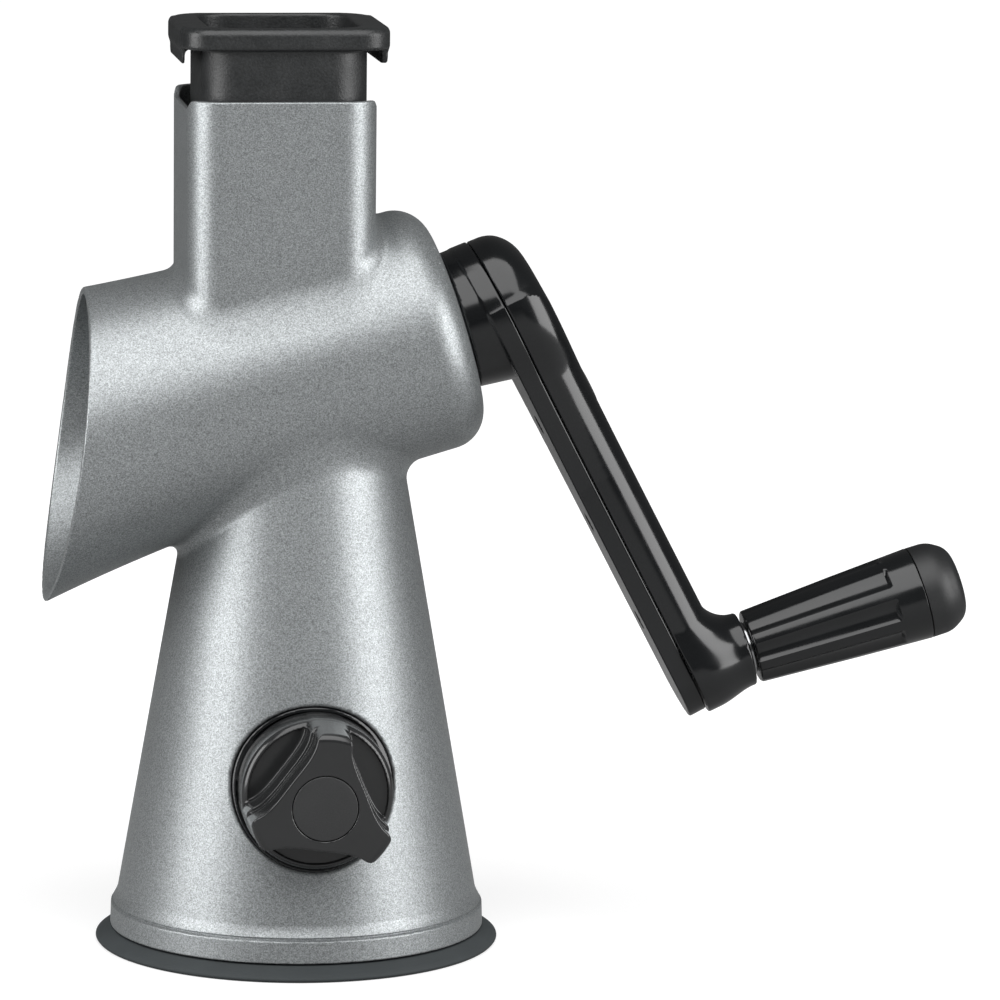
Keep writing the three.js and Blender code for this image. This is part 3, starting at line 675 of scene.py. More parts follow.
def satin_black(name, colour=(0.02, 0.021, 0.022), grain=0.0004, low=0.42, high=0.52, depth=1):
    """Finely textured black plastic. A depth of 1 is a faint grain."""
    plastic = Finish(name, IOR=1.5)
    fine = plastic.noise(grain, 2)
    plastic.shade(colour, plastic.mapped(fine, 1 - 0.15 * depth, 1 + 0.15 * depth, 0.3, 0.7))
    plastic.roughness(plastic.mapped(plastic.noise(0.01, 2), low, high, 0.3, 0.7))
    plastic.bump(fine, 0.00006 * depth, 0.5)
    return plastic.material


def black_rubber():
    """Dull dark rubber with a bloom."""
    rubber = Finish("black rubber", IOR=1.45)
    bloom = rubber.noise(0.015, 4)
    rubber.shade((0.028, 0.033, 0.035), rubber.mapped(bloom, 0.88, 1.12, 0.3, 0.7))
    rubber.roughness(rubber.mapped(bloom, 0.72, 0.85, 0.3, 0.7))
    rubber.bump(rubber.noise(0.0006, 3), 0.00004, 0.4)
    return rubber.material


def bare_metal(name, colour, low, high, stretch=(1, 1, 1)):
    """Steel with fine lines from rolling or drawing."""
    metal = Finish(name, Metallic=1.0)
    lines = metal.noise(0.0012, 3, stretch)
    metal.shade(colour, metal.mapped(lines, 0.92, 1.08, 0.3, 0.7))
    metal.roughness(metal.mapped(lines, low, high, 0.3, 0.7))
    metal.bump(lines, 0.00002, 0.3)
    return metal.material


def plain_plastic(name, colour, low=0.38, high=0.5):
    """Moulded plastic with a faintly uneven surface."""
    plastic = Finish(name, IOR=1.48)
    patches = plastic.noise(0.008, 3)
    plastic.shade(colour, plastic.mapped(patches, 0.93, 1.07, 0.3, 0.7))
    plastic.roughness(plastic.mapped(patches, low, high, 0.3, 0.7))
    plastic.bump(plastic.noise(0.0008, 2), 0.00003, 0.25)
    return plastic.material


# ---- the stage ----
class StageSettings(bpy.types.PropertyGroup):
    """Floor, lights and camera"""

    azimuth: angle_property("Camera azimuth", "Side that the camera looks from", math.radians(-6.5))
    distance: length_property("Camera distance", "From the foot's axis, level", 1.9)
    height: length_property("Camera height", "Above the floor", 0.4574)
    yaw: angle_property("Camera yaw", "Turn to the right of the foot's axis", math.radians(1.927))
    pitch: angle_property("Camera pitch", "Tilt below level", math.radians(9.4162))
    roll: angle_property("Camera roll", "Turn about the line of sight", math.radians(0.6443))
    lens: number_property("Lens", "Focal length in millimetres on a 36 mm sensor", 218.31)
    floor: colour_property("Floor", "Colour of the floor", (0.34, 0.34, 0.34))
    glow: number_property("Floor glow", "White added to the floor", 0.70)
    overhead: number_property("Overhead light", "Power in watts", 16.0)
    strips: number_property("Side strips", "Power of each strip in watts", 14.0)
    ambient: number_property("Ambient", "Strength of the even light", 0.085)


def area_light(name, place, aim, width, height, power):
    light = bpy.data.lights.new(name, "AREA")
    light.shape = "RECTANGLE"
    light.size, light.size_y = width, height
    light.energy = power
    made = bpy.data.objects.new(name, light)
    bpy.context.scene.collection.objects.link(made)
    made.location = place
    made.rotation_euler = (Vector(aim) - Vector(place)).to_track_quat("-Z", "Y").to_euler()
    made.visible_camera = False
    return made


def make_camera(s):
    """The camera, from its place and its turns off the line to the foot's axis."""
    side = Vector((math.sin(s.azimuth), -math.cos(s.azimuth), 0))
    ahead = Matrix.Rotation(-s.yaw, 3, "Z") @ -side
    right = ahead.cross(Vector((0, 0, 1)))
    look = ahead * math.cos(s.pitch) - Vector((0, 0, math.sin(s.pitch)))
    up = right.cross(look)
    across = right * math.cos(s.roll) + up * math.sin(s.roll)
    upwards = up * math.cos(s.roll) - right * math.sin(s.roll)
    camera = bpy.data.objects.new("camera", bpy.data.cameras.new("camera"))
    bpy.context.scene.collection.objects.link(camera)
    turn = Matrix((across, upwards, -look)).transposed().to_4x4()
    camera.matrix_world = Matrix.Translation(side * s.distance + Vector((0, 0, s.height))) @ turn
    camera.data.lens = s.lens
    camera.data.clip_start = 0.05
    bpy.context.scene.camera = camera


def white_to_camera(nodes, links, shader, strength, output):
    """Adds white of that strength, a number or an output, where the camera sees it and nowhere else."""
    white = nodes.new("ShaderNodeEmission")
    seen = nodes.new("ShaderNodeMath")
    seen.operation = "MULTIPLY"
    if isinstance(strength, bpy.types.NodeSocket):
        links.new(strength, seen.inputs[1])
    else:
        seen.inputs[1].default_value = strength
    links.new(nodes.new("ShaderNodeLightPath").outputs["Is Camera Ray"], seen.inputs[0])
    links.new(seen.outputs[0], white.inputs["Strength"])
    both = nodes.new("ShaderNodeAddShader")
    links.new(shader.outputs[0], both.inputs[0])
    links.new(white.outputs[0], both.inputs[1])
    links.new(both.outputs[0], output.inputs["Surface"])


def make_world(ambient):
    """Dim even light, with a white backdrop behind the object."""
    world = bpy.data.worlds.new("studio")
    world.use_nodes = True
    nodes = world.node_tree.nodes
    grey = nodes["Background"]
    grey.inputs["Color"].default_value = (1, 1, 1, 1)
    grey.inputs["Strength"].default_value = ambient
    white_to_camera(nodes, world.node_tree.links, grey, 1.0, nodes["World Output"])
    bpy.context.scene.world = world


def from_camera_side(azimuth, turn, distance, height):
    """A place round the object, turned from the camera's side, positive to the right."""
    angle = azimuth + math.radians(turn)
    return Vector((math.sin(angle) * distance, -math.cos(angle) * distance, height))


class GRATER_OT_stage(bpy.types.Operator):
    """Build the floor, the lights and the camera"""

    bl_idname = "grater.stage"
    bl_label = "Stage"

    def execute(self, context):
        s = context.scene.grater_stage
        make_camera(s)
        make_world(s.ambient)
        context.scene.view_settings.view_transform = "Standard"
        square = [(-1, -1), (1, -1), (1, 1), (-1, 1)]
        corners = [(x * FLOOR_HALF, y * FLOOR_HALF, -FLOOR_DROP) for x, y in square]
        floor = object_of("floor", mesh_of("floor", corners, np.array([[0, 1, 2, 3]])))
        matt = Finish("pale floor", IOR=1.3)
        matt.shade(s.floor, matt.mapped(matt.noise(0.05, 2), 0.99, 1.0))
        matt.roughness(matt.mapped(matt.noise(0.03, 2), 0.8, 0.9))
        away = matt.node("ShaderNodeVectorMath", operation="LENGTH", links=[(0, matt.place)])
        glow = matt.mapped(away.outputs["Value"], s.glow, 1.0, *GLOW_SPAN)
        white_to_camera(matt.nodes, matt.links, matt.shader, glow, matt.nodes["Material Output"])
        floor.data.materials.append(matt.material)
        for turn in (-STRIP_TURN, STRIP_TURN):
            place = from_camera_side(s.azimuth, turn, *STRIP_PLACE)
            area_light("strip", place, LIGHT_AIM, *STRIP_SIZE, s.strips)
        place = from_camera_side(s.azimuth, 0, *OVERHEAD_PLACE)
        area_light("overhead", place, LIGHT_AIM, *OVERHEAD_SIZE, s.overhead)
        return {"FINISHED"}


# ---- the foot ----
class FootSettings(bpy.types.PropertyGroup):
    """Sizes of the rubber foot"""

    radius: length_property("Radius", "Of the rubber at its widest", 0.0646)
    lip: length_property("Lip", "Height of the rubber's outer edge", 0.0011)
    cup: length_property("Cup depth", "Hollow under the rubber", 0.0012)


class GRATER_OT_foot(bpy.types.Operator):
    """Build the rubber suction foot"""

    bl_idname = "grater.foot"
    bl_label = "Rubber foot"

    def execute(self, context):
        s = context.scene.grater_foot
        top = SKIRT_BOTTOM - CLEARANCE
        web, neck = 0.0032, 0.006  # heights of the thin web and of the neck round its hole
        stem = 0.0069  # radius of that hole
        profile = softened([
            (s.cup, 0, 0), (s.cup, 0.030, 0.03), (0.0, 0.056, 0.03), (0.0, s.radius - 0.0010, 0.0007),
            (s.lip, s.radius, 0.0009), (0.0023, s.radius - 0.0016, 0.002), (top - 0.0003, 0.0594, 0.0004),
            (top, 0.049, 0.0003), (web, 0.047, 0.0003), (web, 0.010, 0.0005), (neck, 0.009, 0.0004),
            (neck, stem, 0.0003), (web, stem, 0.0003), (web, 0, 0),
        ])
        upright = Matrix.Rotation(-math.pi / 2, 4, "Y")
        rubber = turned("foot_rubber", profile, 192, upright)
        finished(rubber, "body", black_rubber(), "rubber", "suction_pad")
        return {"FINISHED"}


# ---- the suction knob, its cap and the ring round it ----
class KnobSettings(bpy.types.PropertyGroup):
    """Sizes of the three-lobed knob"""

    lobe_half: length_property("Lobe half width", "Half the width of each lobe", 0.0056)
    lobe_tip: length_property("Lobe tip", "From the centre to the end of a lobe", 0.0233)
    centre: length_property("Centre radius", "Of the round middle that the lobes grow from", 0.0120)
    fillet: length_property("Lobe fillet", "Between two lobes", 0.0095)
    ledge: length_property("Ledge", "How far the lower half of the sides stands out", 0.0011)
    face_round: length_property("Face rounding", "Rounding of the face's edge", 0.0007)


def lobes(x, z, s, grow):
    """The three lobes' outline in the plane of the face."""
    shape = np.hypot(x, z) - s.centre
    for angle in LOBE_ANGLES:
        out = x * math.cos(angle) + z * math.sin(angle)
        across = z * math.cos(angle) - x * math.sin(angle)
        half = s.lobe_tip / 2 + 0.003  # runs past the tip, which the flare cuts off
        lobe = rounded_rectangle(out - half, across, half, s.lobe_half, 0.001)
        shape = rounded_union(shape, lobe, s.fillet)
    return shape - grow


def knob_distance(s):
    def distance(x, y, z):
        z = z - KNOB_CENTRE.z
        radius = np.hypot(x, z)
        depth = (y - KNOB_FACE) / (KNOB_FLOOR - KNOB_FACE)
        flare = radius - s.lobe_tip - (KNOB_DISC - s.lobe_tip) * np.clip(depth, 0, 1)
        upper = rounded_overlap(lobes(x, z, s, 0), KNOB_FACE - y, s.face_round)
        lower = rounded_overlap(lobes(x, z, s, s.ledge), KNOB_FACE + KNOB_LEDGE_DEPTH - y, 0.0005)
        grip = rounded_overlap(np.minimum(upper, lower), flare, 0.0024)
        disc = rounded_overlap(radius - KNOB_DISC, KNOB_FLOOR - KNOB_LIP[1] - y, 0.0026)
        bowl = np.maximum(radius - KNOB_DISC + KNOB_LIP[0], y - KNOB_FLOOR)
        solid = rounded_union(rounded_cut(disc, bowl, 0.0004), grip, 0.0008)
        solid = rounded_overlap(solid, y - KNOB_BACK, 0.0004)
        recess = np.maximum(radius - CAP_RADIUS - CAP_GAP, y - KNOB_FACE - CAP_DEPTH)
        socket = np.maximum(np.maximum(np.abs(x), np.abs(z)) - SPINDLE_HALF, KNOB_FLOOR - SOCKET_DEPTH - y)
        holes = (KNOB_SCREW_HEAD, KNOB_SCREW_SHANK)
        head, shank = (np.maximum(radius - hole, y - end) for hole, end in holes)
        solid = rounded_cut(solid, recess, 0.00025)
        return np.maximum(solid, -np.minimum(socket, np.minimum(head, shank)))

    return distance


def ring_distance(x, y, z):
    """The ring that lines the knob's hole, its front following the cone."""
    radius = np.hypot(x, z - KNOB_CENTRE.z)
    sleeve = np.maximum(np.abs(radius - RING_RADIUS) - RING_HALF_WALL, y + 0.040)
    ledge = np.maximum(np.abs(radius - 0.02215) - 0.00315, np.abs(y + 0.0425) - 0.001)
    return rounded_overlap(np.minimum(sleeve, ledge), cone(x, y, z, -0.0002), 0.0003)


class GRATER_OT_knob(bpy.types.Operator):
    """Build the knob, its cap and the ring that lines its hole"""

    bl_idname = "grater.knob"
    bl_label = "Suction knob"

    def execute(self, context):
        s = context.scene.grater_knob
        cell = 0.00045
        reach = 0.0245
        across = grid_line(-reach, reach, cell)
        tall = grid_line(KNOB_CENTRE.z - reach, KNOB_CENTRE.z + reach, cell)
        depth = grid_line(-0.0787, -0.0443, cell, (-0.0782, -0.0755, 0.0002), (-0.0678, -0.0670, 0.0002),
                          (-0.0588, -0.0565, 0.00025))
        knob = moulding("knob_moulding", knob_distance(s), (across, depth, tall), 0.75)
        black = gloss_black("gloss black knob", (0.017, 0.0175, 0.018), 0.14, 0.2)
        finished(knob, "knob", black, "gloss_black", "knob")
        toward = Matrix.Translation(KNOB_CENTRE) @ Matrix.Rotation(math.pi / 2, 4, "Z")
        profile = softened([
            (KNOB_FACE, 0, 0), (KNOB_FACE, CAP_RADIUS, 0.0003), (-0.0766, CAP_RADIUS, 0), (-0.0766, 0, 0)])
        cap = turned("knob_face_cap", profile, 96, toward)
        satin = satin_black("satin black cap", (0.021, 0.0215, 0.022))
        finished(cap, "knob", satin, "satin_black", "knob_cap")
        fine, reach = 0.0004, 0.0267
        across = grid_line(-reach, reach, fine)
        depth = grid_line(-0.0560, -0.0390, fine)
        tall = grid_line(KNOB_CENTRE.z - reach, KNOB_CENTRE.z + reach, fine)
        ring = moulding("knob_hole_ring", ring_distance, (across, depth, tall), 0.5)
        finished(ring, "body", gloss_black("gloss black ring"), "satin_black", "knob_bezel")
        return {"FINISHED"}


# ---- the food pusher ----
class PusherSettings(bpy.types.PropertyGroup):
    """Sizes of the food pusher"""

    wall: length_property("Wall", "Thickness of the pusher's walls", 0.0022)
    corner: length_property("Corner", "Rounding of the upright corners", 0.0125)
    near_corner: length_property("Flange front corner", "Rounding of the flange's two front corners", 0.009)
    far_corner: length_property("Flange back corner", "Rounding of the flange's two back corners", 0.012)
    edge: length_property("Edge", "Rounding of the flange's top edge", 0.0024)


def pusher_distance(s):
    def distance(x, y, z):
        u = x - PUSHER_X
        corner = np.where(y < 0, s.near_corner, s.far_corner)
        plan = rounded_rectangle(u, y, *FLANGE_HALF, corner)
        flange = rounded_overlap(plan, FLANGE_BOTTOM - z, 0.0012)
        lip = rounded_overlap(np.abs(y) - LIP_HALF, LIP_BOTTOM - z, 0.0025)
        lip = rounded_overlap(lip, np.abs(np.abs(u) - FLANGE_HALF[0] + LIP_WALL / 2) - LIP_WALL / 2, 0.0006)
        lip = np.maximum(np.maximum(lip, plan), LIP_ROOM - chute(x, y, 0))
        flange = rounded_union(flange, lip, 0.0022)
        body = rounded_rectangle(u, y, *PUSHER_HALF, s.corner)
        body = rounded_overlap(body, PUSHER_BOTTOM - z, 0.001)
        solid = rounded_union(body, flange, 0.0012)
        solid = rounded_overlap(solid, z - FLANGE_TOP, s.edge)
        _, above = along_axis(x, z - PUSHER_LIFT)
        drum_room = np.hypot(y, above) - DRUM_RADIUS - DRUM_ROOM
        solid = rounded_cut(solid, drum_room, 0.0006)
        half_x, half_y = PUSHER_HALF
        inside = rounded_rectangle(u, y, half_x - s.wall, half_y - s.wall, s.corner - s.wall)
        hollow = np.maximum(inside, np.maximum(PUSHER_BOTTOM + 0.0025 - z, 0.0026 - drum_room))
        return rounded_cut(solid, hollow, 0.0009)

    return distance


class GRATER_OT_pusher(bpy.types.Operator):
    """Build the food pusher"""

    bl_idname = "grater.pusher"
    bl_label = "Food pusher"

    def execute(self, context):
        cell = 0.0008
        lines = (
            grid_line(-0.0405, 0.0260, cell, (-0.0405, -0.0369, 0.0004)),
            grid_line(-0.0320, 0.0320, cell),
            grid_line(0.2255, 0.2950, cell, (0.2812, 0.2895, 0.0005), (0.2915, 0.2945, 0.0004)),
        )
        pusher = moulding("pusher_moulding", pusher_distance(context.scene.grater_pusher), lines, 0.8)
        grained = satin_black("grained black plastic", (0.012, 0.013, 0.0135), 0.0007, 0.36, 0.5, 3)
        finished(pusher, "pusher", grained, "grained_black", "pusher")
        return {"FINISHED"}


# ---- the crank ----
class CrankSettings(bpy.types.PropertyGroup):
    """Sizes of the crank arm"""

    outer_round: length_property("Outer rounding", "Rounding of the arm's outer face", 0.0098)
    inner_round: length_property("Inner rounding", "Rounding of the arm's inner face", 0.0007)
    seam: length_property("Seam", "Gap between the two halves", 0.0003)
    boss_fillet: length_property("Boss fillet", "Between the arm and the grip's boss", 0.007)


HUB_CENTRE = -ARM_SEAM * math.tan(ARM_TILT)  # in the arm's own Z, at the seam
BOSS_CENTRE = -0.044 * math.sin(ARM_TILT) - CRANK_RADIUS * math.cos(ARM_TILT)
BOSS_ROOT = 0.0134
BADGE_HEIGHT = -0.037
BADGE_HALF = (0.0045, 0.007)


def arm_outline(x, y, z):
    """The arm's narrowing bar with its round lower end, joined to a hub that runs along the axis."""
    below_hub = bezier([(0, 0.0195), (-0.022, 0.0205), (-0.030, 0.0152), (-0.062, 0.0142)], 24)[::-1]
    heights = np.concatenate([[BOSS_CENTRE], HUB_CENTRE + below_hub[:, 0]])
    halves = np.concatenate([[BOSS_ROOT], below_hub[:, 1]])
    bar = np.abs(y) - np.interp(z, heights, halves)
    along, above = arm_to_axis(x, z)
    end = np.hypot(y, z - BOSS_CENTRE) - BOSS_ROOT
    bar = np.where(z < BOSS_CENTRE, end, np.maximum(bar, z - HUB_CENTRE))
    return rounded_union(np.hypot(y, above) - hub_radius(along), bar, 0.006)


def hub_radius(along):
    """The hub widens a little away from the housing."""
    return HUB_RADIUS - 0.0004 + HUB_GROWTH * np.clip(along / HUB_REACH, 0, 1)


def arm_to_axis(x, z):
    cos, sin = math.cos(ARM_TILT), math.sin(ARM_TILT)
    return x * cos - z * sin, x * sin + z * cos


def nearest_screw(y, z):
    """The distance square to the nearest of the screws that join the halves."""
    return np.minimum.reduce([np.hypot(y, z - height) for height in CRANK_SCREW_HEIGHTS])


def badge_oval(y, z):
    """Negative inside the badge's outline."""
    half_y, half_z = BADGE_HALF
    return (np.hypot(y / half_y, (z - BADGE_HEIGHT) / half_z) - 1) * half_y


def inner_half_distance(s):
    def distance(x, y, z):
        along, above = arm_to_axis(x, z)
        from_axis = np.hypot(y, above)
        plate = rounded_overlap(arm_outline(x, y, z), ARM_FACE - x, s.inner_round)
        sleeve = rounded_overlap(from_axis - hub_radius(along), -0.0004 - along, 0.0006)
        solid = rounded_union(plate, sleeve, 0.0007)
        solid = rounded_overlap(solid, x - ARM_SEAM + s.seam / 2, 0.0006)
        bore = rounded_overlap(from_axis - HUB_RADIUS + HUB_WALL, x - ARM_FACE, 0.0006)
        socket = rounded_overlap(from_axis - 0.0096, 0.0036 - along, 0.0004)
        half, end = SHAFT_SOCKET
        square = np.maximum(np.maximum(np.abs(y), np.abs(above)) - half, along - end)
        shank = from_axis - 0.0025
        recess = np.maximum(nearest_screw(y, z) - 0.0032, x - ARM_FACE - CRANK_SCREW_FLOOR)
        shanks = np.maximum(nearest_screw(y, z) - 0.0019, ARM_FACE - x)
        solid = rounded_cut(solid, np.maximum(bore, -socket), 0.0003)
        solid = rounded_cut(solid, recess, 0.0003)
        return np.maximum(solid, -np.minimum(np.minimum(square, shank), shanks))

    return distance


def outer_half_distance(s):
    def distance(x, y, z):
        along, above = arm_to_axis(x, z)
        from_grip = np.hypot(y, above + CRANK_RADIUS)
        slab = rounded_overlap(arm_outline(x, y, z), x - ARM_BACK, s.outer_round)
        taper = 0.0142 + (0.0120 - 0.0142) * (along - 0.030) / (BOSS_END - 0.030)
        boss = rounded_overlap(from_grip - taper, along - BOSS_END, 0.0006)
        solid = rounded_union(slab, boss, s.boss_fillet)
        axle = np.maximum(from_grip - AXLE_RADIUS - CLEARANCE, 0.038 - along)
        posts = np.maximum(nearest_screw(y, z) - 0.0018, x - 0.0225)
        pocket = np.maximum(badge_oval(y, z) - CLEARANCE, ARM_BACK - 0.0008 - x)
        solid = rounded_overlap(solid, ARM_SEAM + s.seam / 2 - x, 0.0006)
        solid = rounded_cut(solid, pocket, 0.0002)
        return np.maximum(solid, -np.minimum(axle, posts))

    return distance


def badge_distance(x, y, z):
    """The blank oval on the arm's outer face, slightly domed."""
    oval = badge_oval(y, z)
    crown = 0.0007 - 0.0003 * (oval / BADGE_HALF[0] + 1) ** 2
    front = rounded_overlap(oval, x - ARM_BACK - crown, 0.0003)
    return rounded_overlap(front, ARM_BACK - 0.0005 - x, 0.0001)


class GRATER_OT_crank(bpy.types.Operator):
    """Build the crank arm's two halves and its badge"""

    bl_idname = "grater.crank"
    bl_label = "Crank arm"

    def execute(self, context):
        s = context.scene.grater_crank
        cell = 0.0007
        black = gloss_black()
        wide = grid_line(-0.0245, 0.0245, cell)
        tall = grid_line(-0.1515, 0.0235, cell)
        seam = (0.0123, 0.0143, 0.0002)
        inner_lines = (grid_line(-0.0056, 0.0140, cell, (0.0062, 0.0084, 0.0003), seam), wide, tall)
        inner = moulding("crank_inner_half", inner_half_distance(s), inner_lines, 1.0, TO_ARM)
        finished(inner, "crank", black, "gloss_black", "crank_inner_shell")
        outer_lines = (grid_line(0.0124, 0.0385, cell, seam), wide, tall)
        outer = moulding("crank_outer_half", outer_half_distance(s), outer_lines, 1.0, TO_ARM)
        finished(outer, "crank", black, "gloss_black", "crank_outer_shell")
        fine, reach = 0.00025, 0.0076
        badge_lines = (
            grid_line(ARM_BACK - 0.001, ARM_BACK + 0.0018, fine / 2),
            grid_line(-0.005, 0.005, fine),
            grid_line(BADGE_HEIGHT - reach, BADGE_HEIGHT + reach, fine),
        )
        badge = moulding("crank_oval_badge", badge_distance, badge_lines, 0.6, TO_ARM)
        finished(badge, "crank", satin_black("satin black badge"), "satin_black", "crank_badge")
        return {"FINISHED"}


# ---- geometry node trees ----
class Tree:
    """A geometry node tree with named inputs, built step by step."""

    def __init__(self, name, inputs):
        self.group = bpy.data.node_groups.new(name, "GeometryNodeTree")
        face = self.group.interface
        face.new_socket("Geometry", in_out="INPUT", socket_type="NodeSocketGeometry")
        face.new_socket("Geometry", in_out="OUTPUT", socket_type="NodeSocketGeometry")
        for label, kind, default in inputs:
            socket = face.new_socket(label, in_out="INPUT", socket_type="NodeSocket" + kind)
            if default is not None:
                socket.default_value = default
        self.inputs = self.group.nodes.new("NodeGroupInput").outputs
        self.result = self.group.nodes.new("NodeGroupOutput").inputs[0]

    def node(self, kind, links=(), **settings):
        """A node with settings, and its inputs, by index or name, set to values or linked."""
        node = self.group.nodes.new(kind)
        for name, value in settings.items():
            setattr(node, name, value)
        for index, value in links:
            if isinstance(value, bpy.types.NodeSocket):
                self.group.links.new(value, node.inputs[index])
            else:
                node.inputs[index].default_value = value
        return node.outputs

    def maths(self, operation, *values):
        return self.node("ShaderNodeMath", list(enumerate(values)), operation=operation)[0]

    def vector(self, x, y, z):
        return self.node("ShaderNodeCombineXYZ", [(0, x), (1, y), (2, z)])[0]

    def finish(self, geometry, material):
        """Realised, with its material, to the output."""
        real = self.node("GeometryNodeRealizeInstances", [("Geometry", geometry)])[0]
        dressed = self.node("GeometryNodeSetMaterial", [("Geometry", real), ("Material", material)])[0]
        self.group.links.new(dressed, self.result)

    def run(self, made, **values):
        """Puts the tree on the object with its inputs set, and turns the result into a plain mesh."""
        modifier = made.modifiers.new("shape", "NODES")
        modifier.node_group = self.group
        items = [item for item in self.group.interface.items_tree if item.in_out == "INPUT"]
        sockets = {item.name: item.identifier for item in items}
        for name, value in values.items():
            modifier[sockets[name.replace("_", " ")]] = value
        return applied(made)


# ---- the grip ----
class GripSettings(bpy.types.PropertyGroup):
    """Sizes of the grip and its flutes"""

    flutes: count_property("Flutes", "Number of flutes round the grip", 8, 3)
    depth: length_property("Flute depth", "At the middle of a flute", 0.0015)
    share: share_property("Flute width", "Share of the way to the next flute", 0.66)
    end: length_property("Flute end", "Where the flutes end, along the axis", 0.1085)
    turn: angle_property("Flute turn", "Turn of the first flute", math.radians(-22.5))


def flute_tree():
    """Sinks long flutes into a turned sleeve that lies along X."""
    tree = Tree("flutes", [
        ("Flutes", "Int", 8), ("Depth", "Float", 0.001), ("Width", "Float", 0.66), ("End", "Float", 0.1),
        ("Turn", "Float", 0.0), ("Inner radius", "Float", 0.008), ("Material", "Material", None),
    ])
    at = tree.inputs
    place = tree.node("ShaderNodeSeparateXYZ", [(0, tree.node("GeometryNodeInputPosition")[0])])
    angle = tree.maths("ARCTAN2", place[2], place[1])
    pitch = tree.maths("DIVIDE", 2 * math.pi, at["Flutes"])
    turns = tree.maths("DIVIDE", tree.maths("SUBTRACT", angle, at["Turn"]), pitch)
    off_centre = tree.maths("ABSOLUTE", tree.maths("SUBTRACT", tree.maths("FRACT", turns), 0.5))
    across = tree.maths("DIVIDE", off_centre, tree.maths("MULTIPLY", at["Width"], 0.5))
    hollow = tree.maths("SUBTRACT", 1.0, tree.maths("POWER", across, 2.0))
    hollow = tree.maths("POWER", tree.maths("MAXIMUM", hollow, 0.0), 0.75)
    past_end = tree.node("ShaderNodeMapRange", [
        ("Value", tree.maths("SUBTRACT", at["End"], place[0])), ("From Min", 0.0), ("From Max", 0.0012),
        ("To Min", 0.0), ("To Max", 1.0)], interpolation_type="SMOOTHSTEP")[0]
    squares = [tree.maths("POWER", part, 2.0) for part in (place[1], place[2])]
    radius = tree.maths("SQRT", tree.maths("ADD", *squares))
    outside = tree.maths("GREATER_THAN", radius, at["Inner radius"])
    allowed = tree.maths("MULTIPLY", past_end, outside)
    sink = tree.maths("MULTIPLY", tree.maths("MULTIPLY", at["Depth"], hollow), allowed)
    inward = tree.maths("DIVIDE", tree.maths("MULTIPLY", sink, -1.0), tree.maths("MAXIMUM", radius, 0.001))
    offset = tree.vector(0.0, *[tree.maths("MULTIPLY", part, inward) for part in (place[1], place[2])])
    moved = tree.node("GeometryNodeSetPosition", [("Geometry", at["Geometry"]), ("Offset", offset)])[0]
    tree.finish(moved, at["Material"])
    return tree


def sleeve_profile():
    """The grip sleeve's section: a bore, and an outside that widens towards the cap."""
    bore = AXLE_RADIUS + CLEARANCE + 0.0001
    first = GRIP_START + 0.004  # the loop starts and ends in the bore
    floor = GRIP_SPLIT - SPIGOT
    corners = softened([
        (first, bore, 0), (GRIP_START, bore, 0.0003), (GRIP_START, 0.0119, 0.0009),
        (0.092, 0.0138, 0.08), (GRIP_SPLIT, 0.0151, 0.0002), (GRIP_SPLIT, 0.0105, 0.0002),
        (floor, 0.0105, 0.0002), (floor, bore, 0.0002), (first, bore, 0),
    ])
    points = [corners[0]]
    for x, y in corners[1:]:
        last_x, last_y = points[-1]
        count = max(1, round(abs(x - last_x) / FLUTE_STEP)) if y > 0.011 else 1
        steps = [i / count for i in range(1, count + 1)]
        points += [(last_x + (x - last_x) * step, last_y + (y - last_y) * step) for step in steps]
    return points


class GRATER_OT_grip(bpy.types.Operator):
    """Build the fluted grip, its cap and its washer"""

    bl_idname = "grater.grip"
    bl_label = "Grip"

    def execute(self, context):
        s = context.scene.grater_grip
        black = gloss_black("gloss black grip", low=0.12, high=0.2)
        sleeve = turned("grip_fluted_sleeve", sleeve_profile(), 240, Matrix())
        flute_tree().run(
            sleeve, Flutes=s.flutes, Depth=s.depth, Width=s.share, End=s.end, Turn=s.turn,
            Inner_radius=0.0115, Material=black)
        sleeve.data.transform(TO_GRIP)
        finish_mesh(sleeve, math.radians(30))
        finished(sleeve, "grip", black, "gloss_black", "grip_sleeve")
        start = GRIP_SPLIT + CLEARANCE
        spigot = GRIP_SPLIT - SPIGOT + CLEARANCE
        cap = turned("grip_end_cap", softened([
            (spigot, 0.007, 0), (spigot, 0.0102, 0.0002), (start, 0.0102, 0), (start, 0.01505, 0.0002),
            (0.1245, 0.0150, 0.009), (GRIP_END - 0.0005, 0.0112, 0.006), (GRIP_END + 0.0002, 0.004, 0.02),
            (GRIP_END + 0.0003, 0, 0), (GRIP_END - 0.0025, 0, 0), (GRIP_END - 0.0035, 0.007, 0.001),
            (spigot, 0.007, 0),
        ], 10), 144, TO_GRIP)
        satin = satin_black("satin black grip cap", (0.008, 0.0085, 0.009), 0.0003, 0.44, 0.52)
        finished(cap, "grip", satin, "satin_black", "grip_cap")
        low, high = BOSS_END + CLEARANCE, GRIP_START - CLEARANCE
        inner, outer = 0.0034, 0.0085
        washer = turned("grip_shiny_washer", softened([
            (low, inner, 0), (low, outer, 0.0003), (high, outer, 0.0003), (high, inner, 0.0002),
            (low, inner, 0)]), 96, TO_GRIP)
        # The washer's steel colour is darkened well below bare steel: painted shade for the narrow gap
        # between the boss and the grip where it sits.
        polished = bare_metal("polished steel darkened for painted shade", (0.32, 0.325, 0.33), 0.16, 0.24)
        finished(washer, "crank", polished, "steel", "grip_washer")
        return {"FINISHED"}


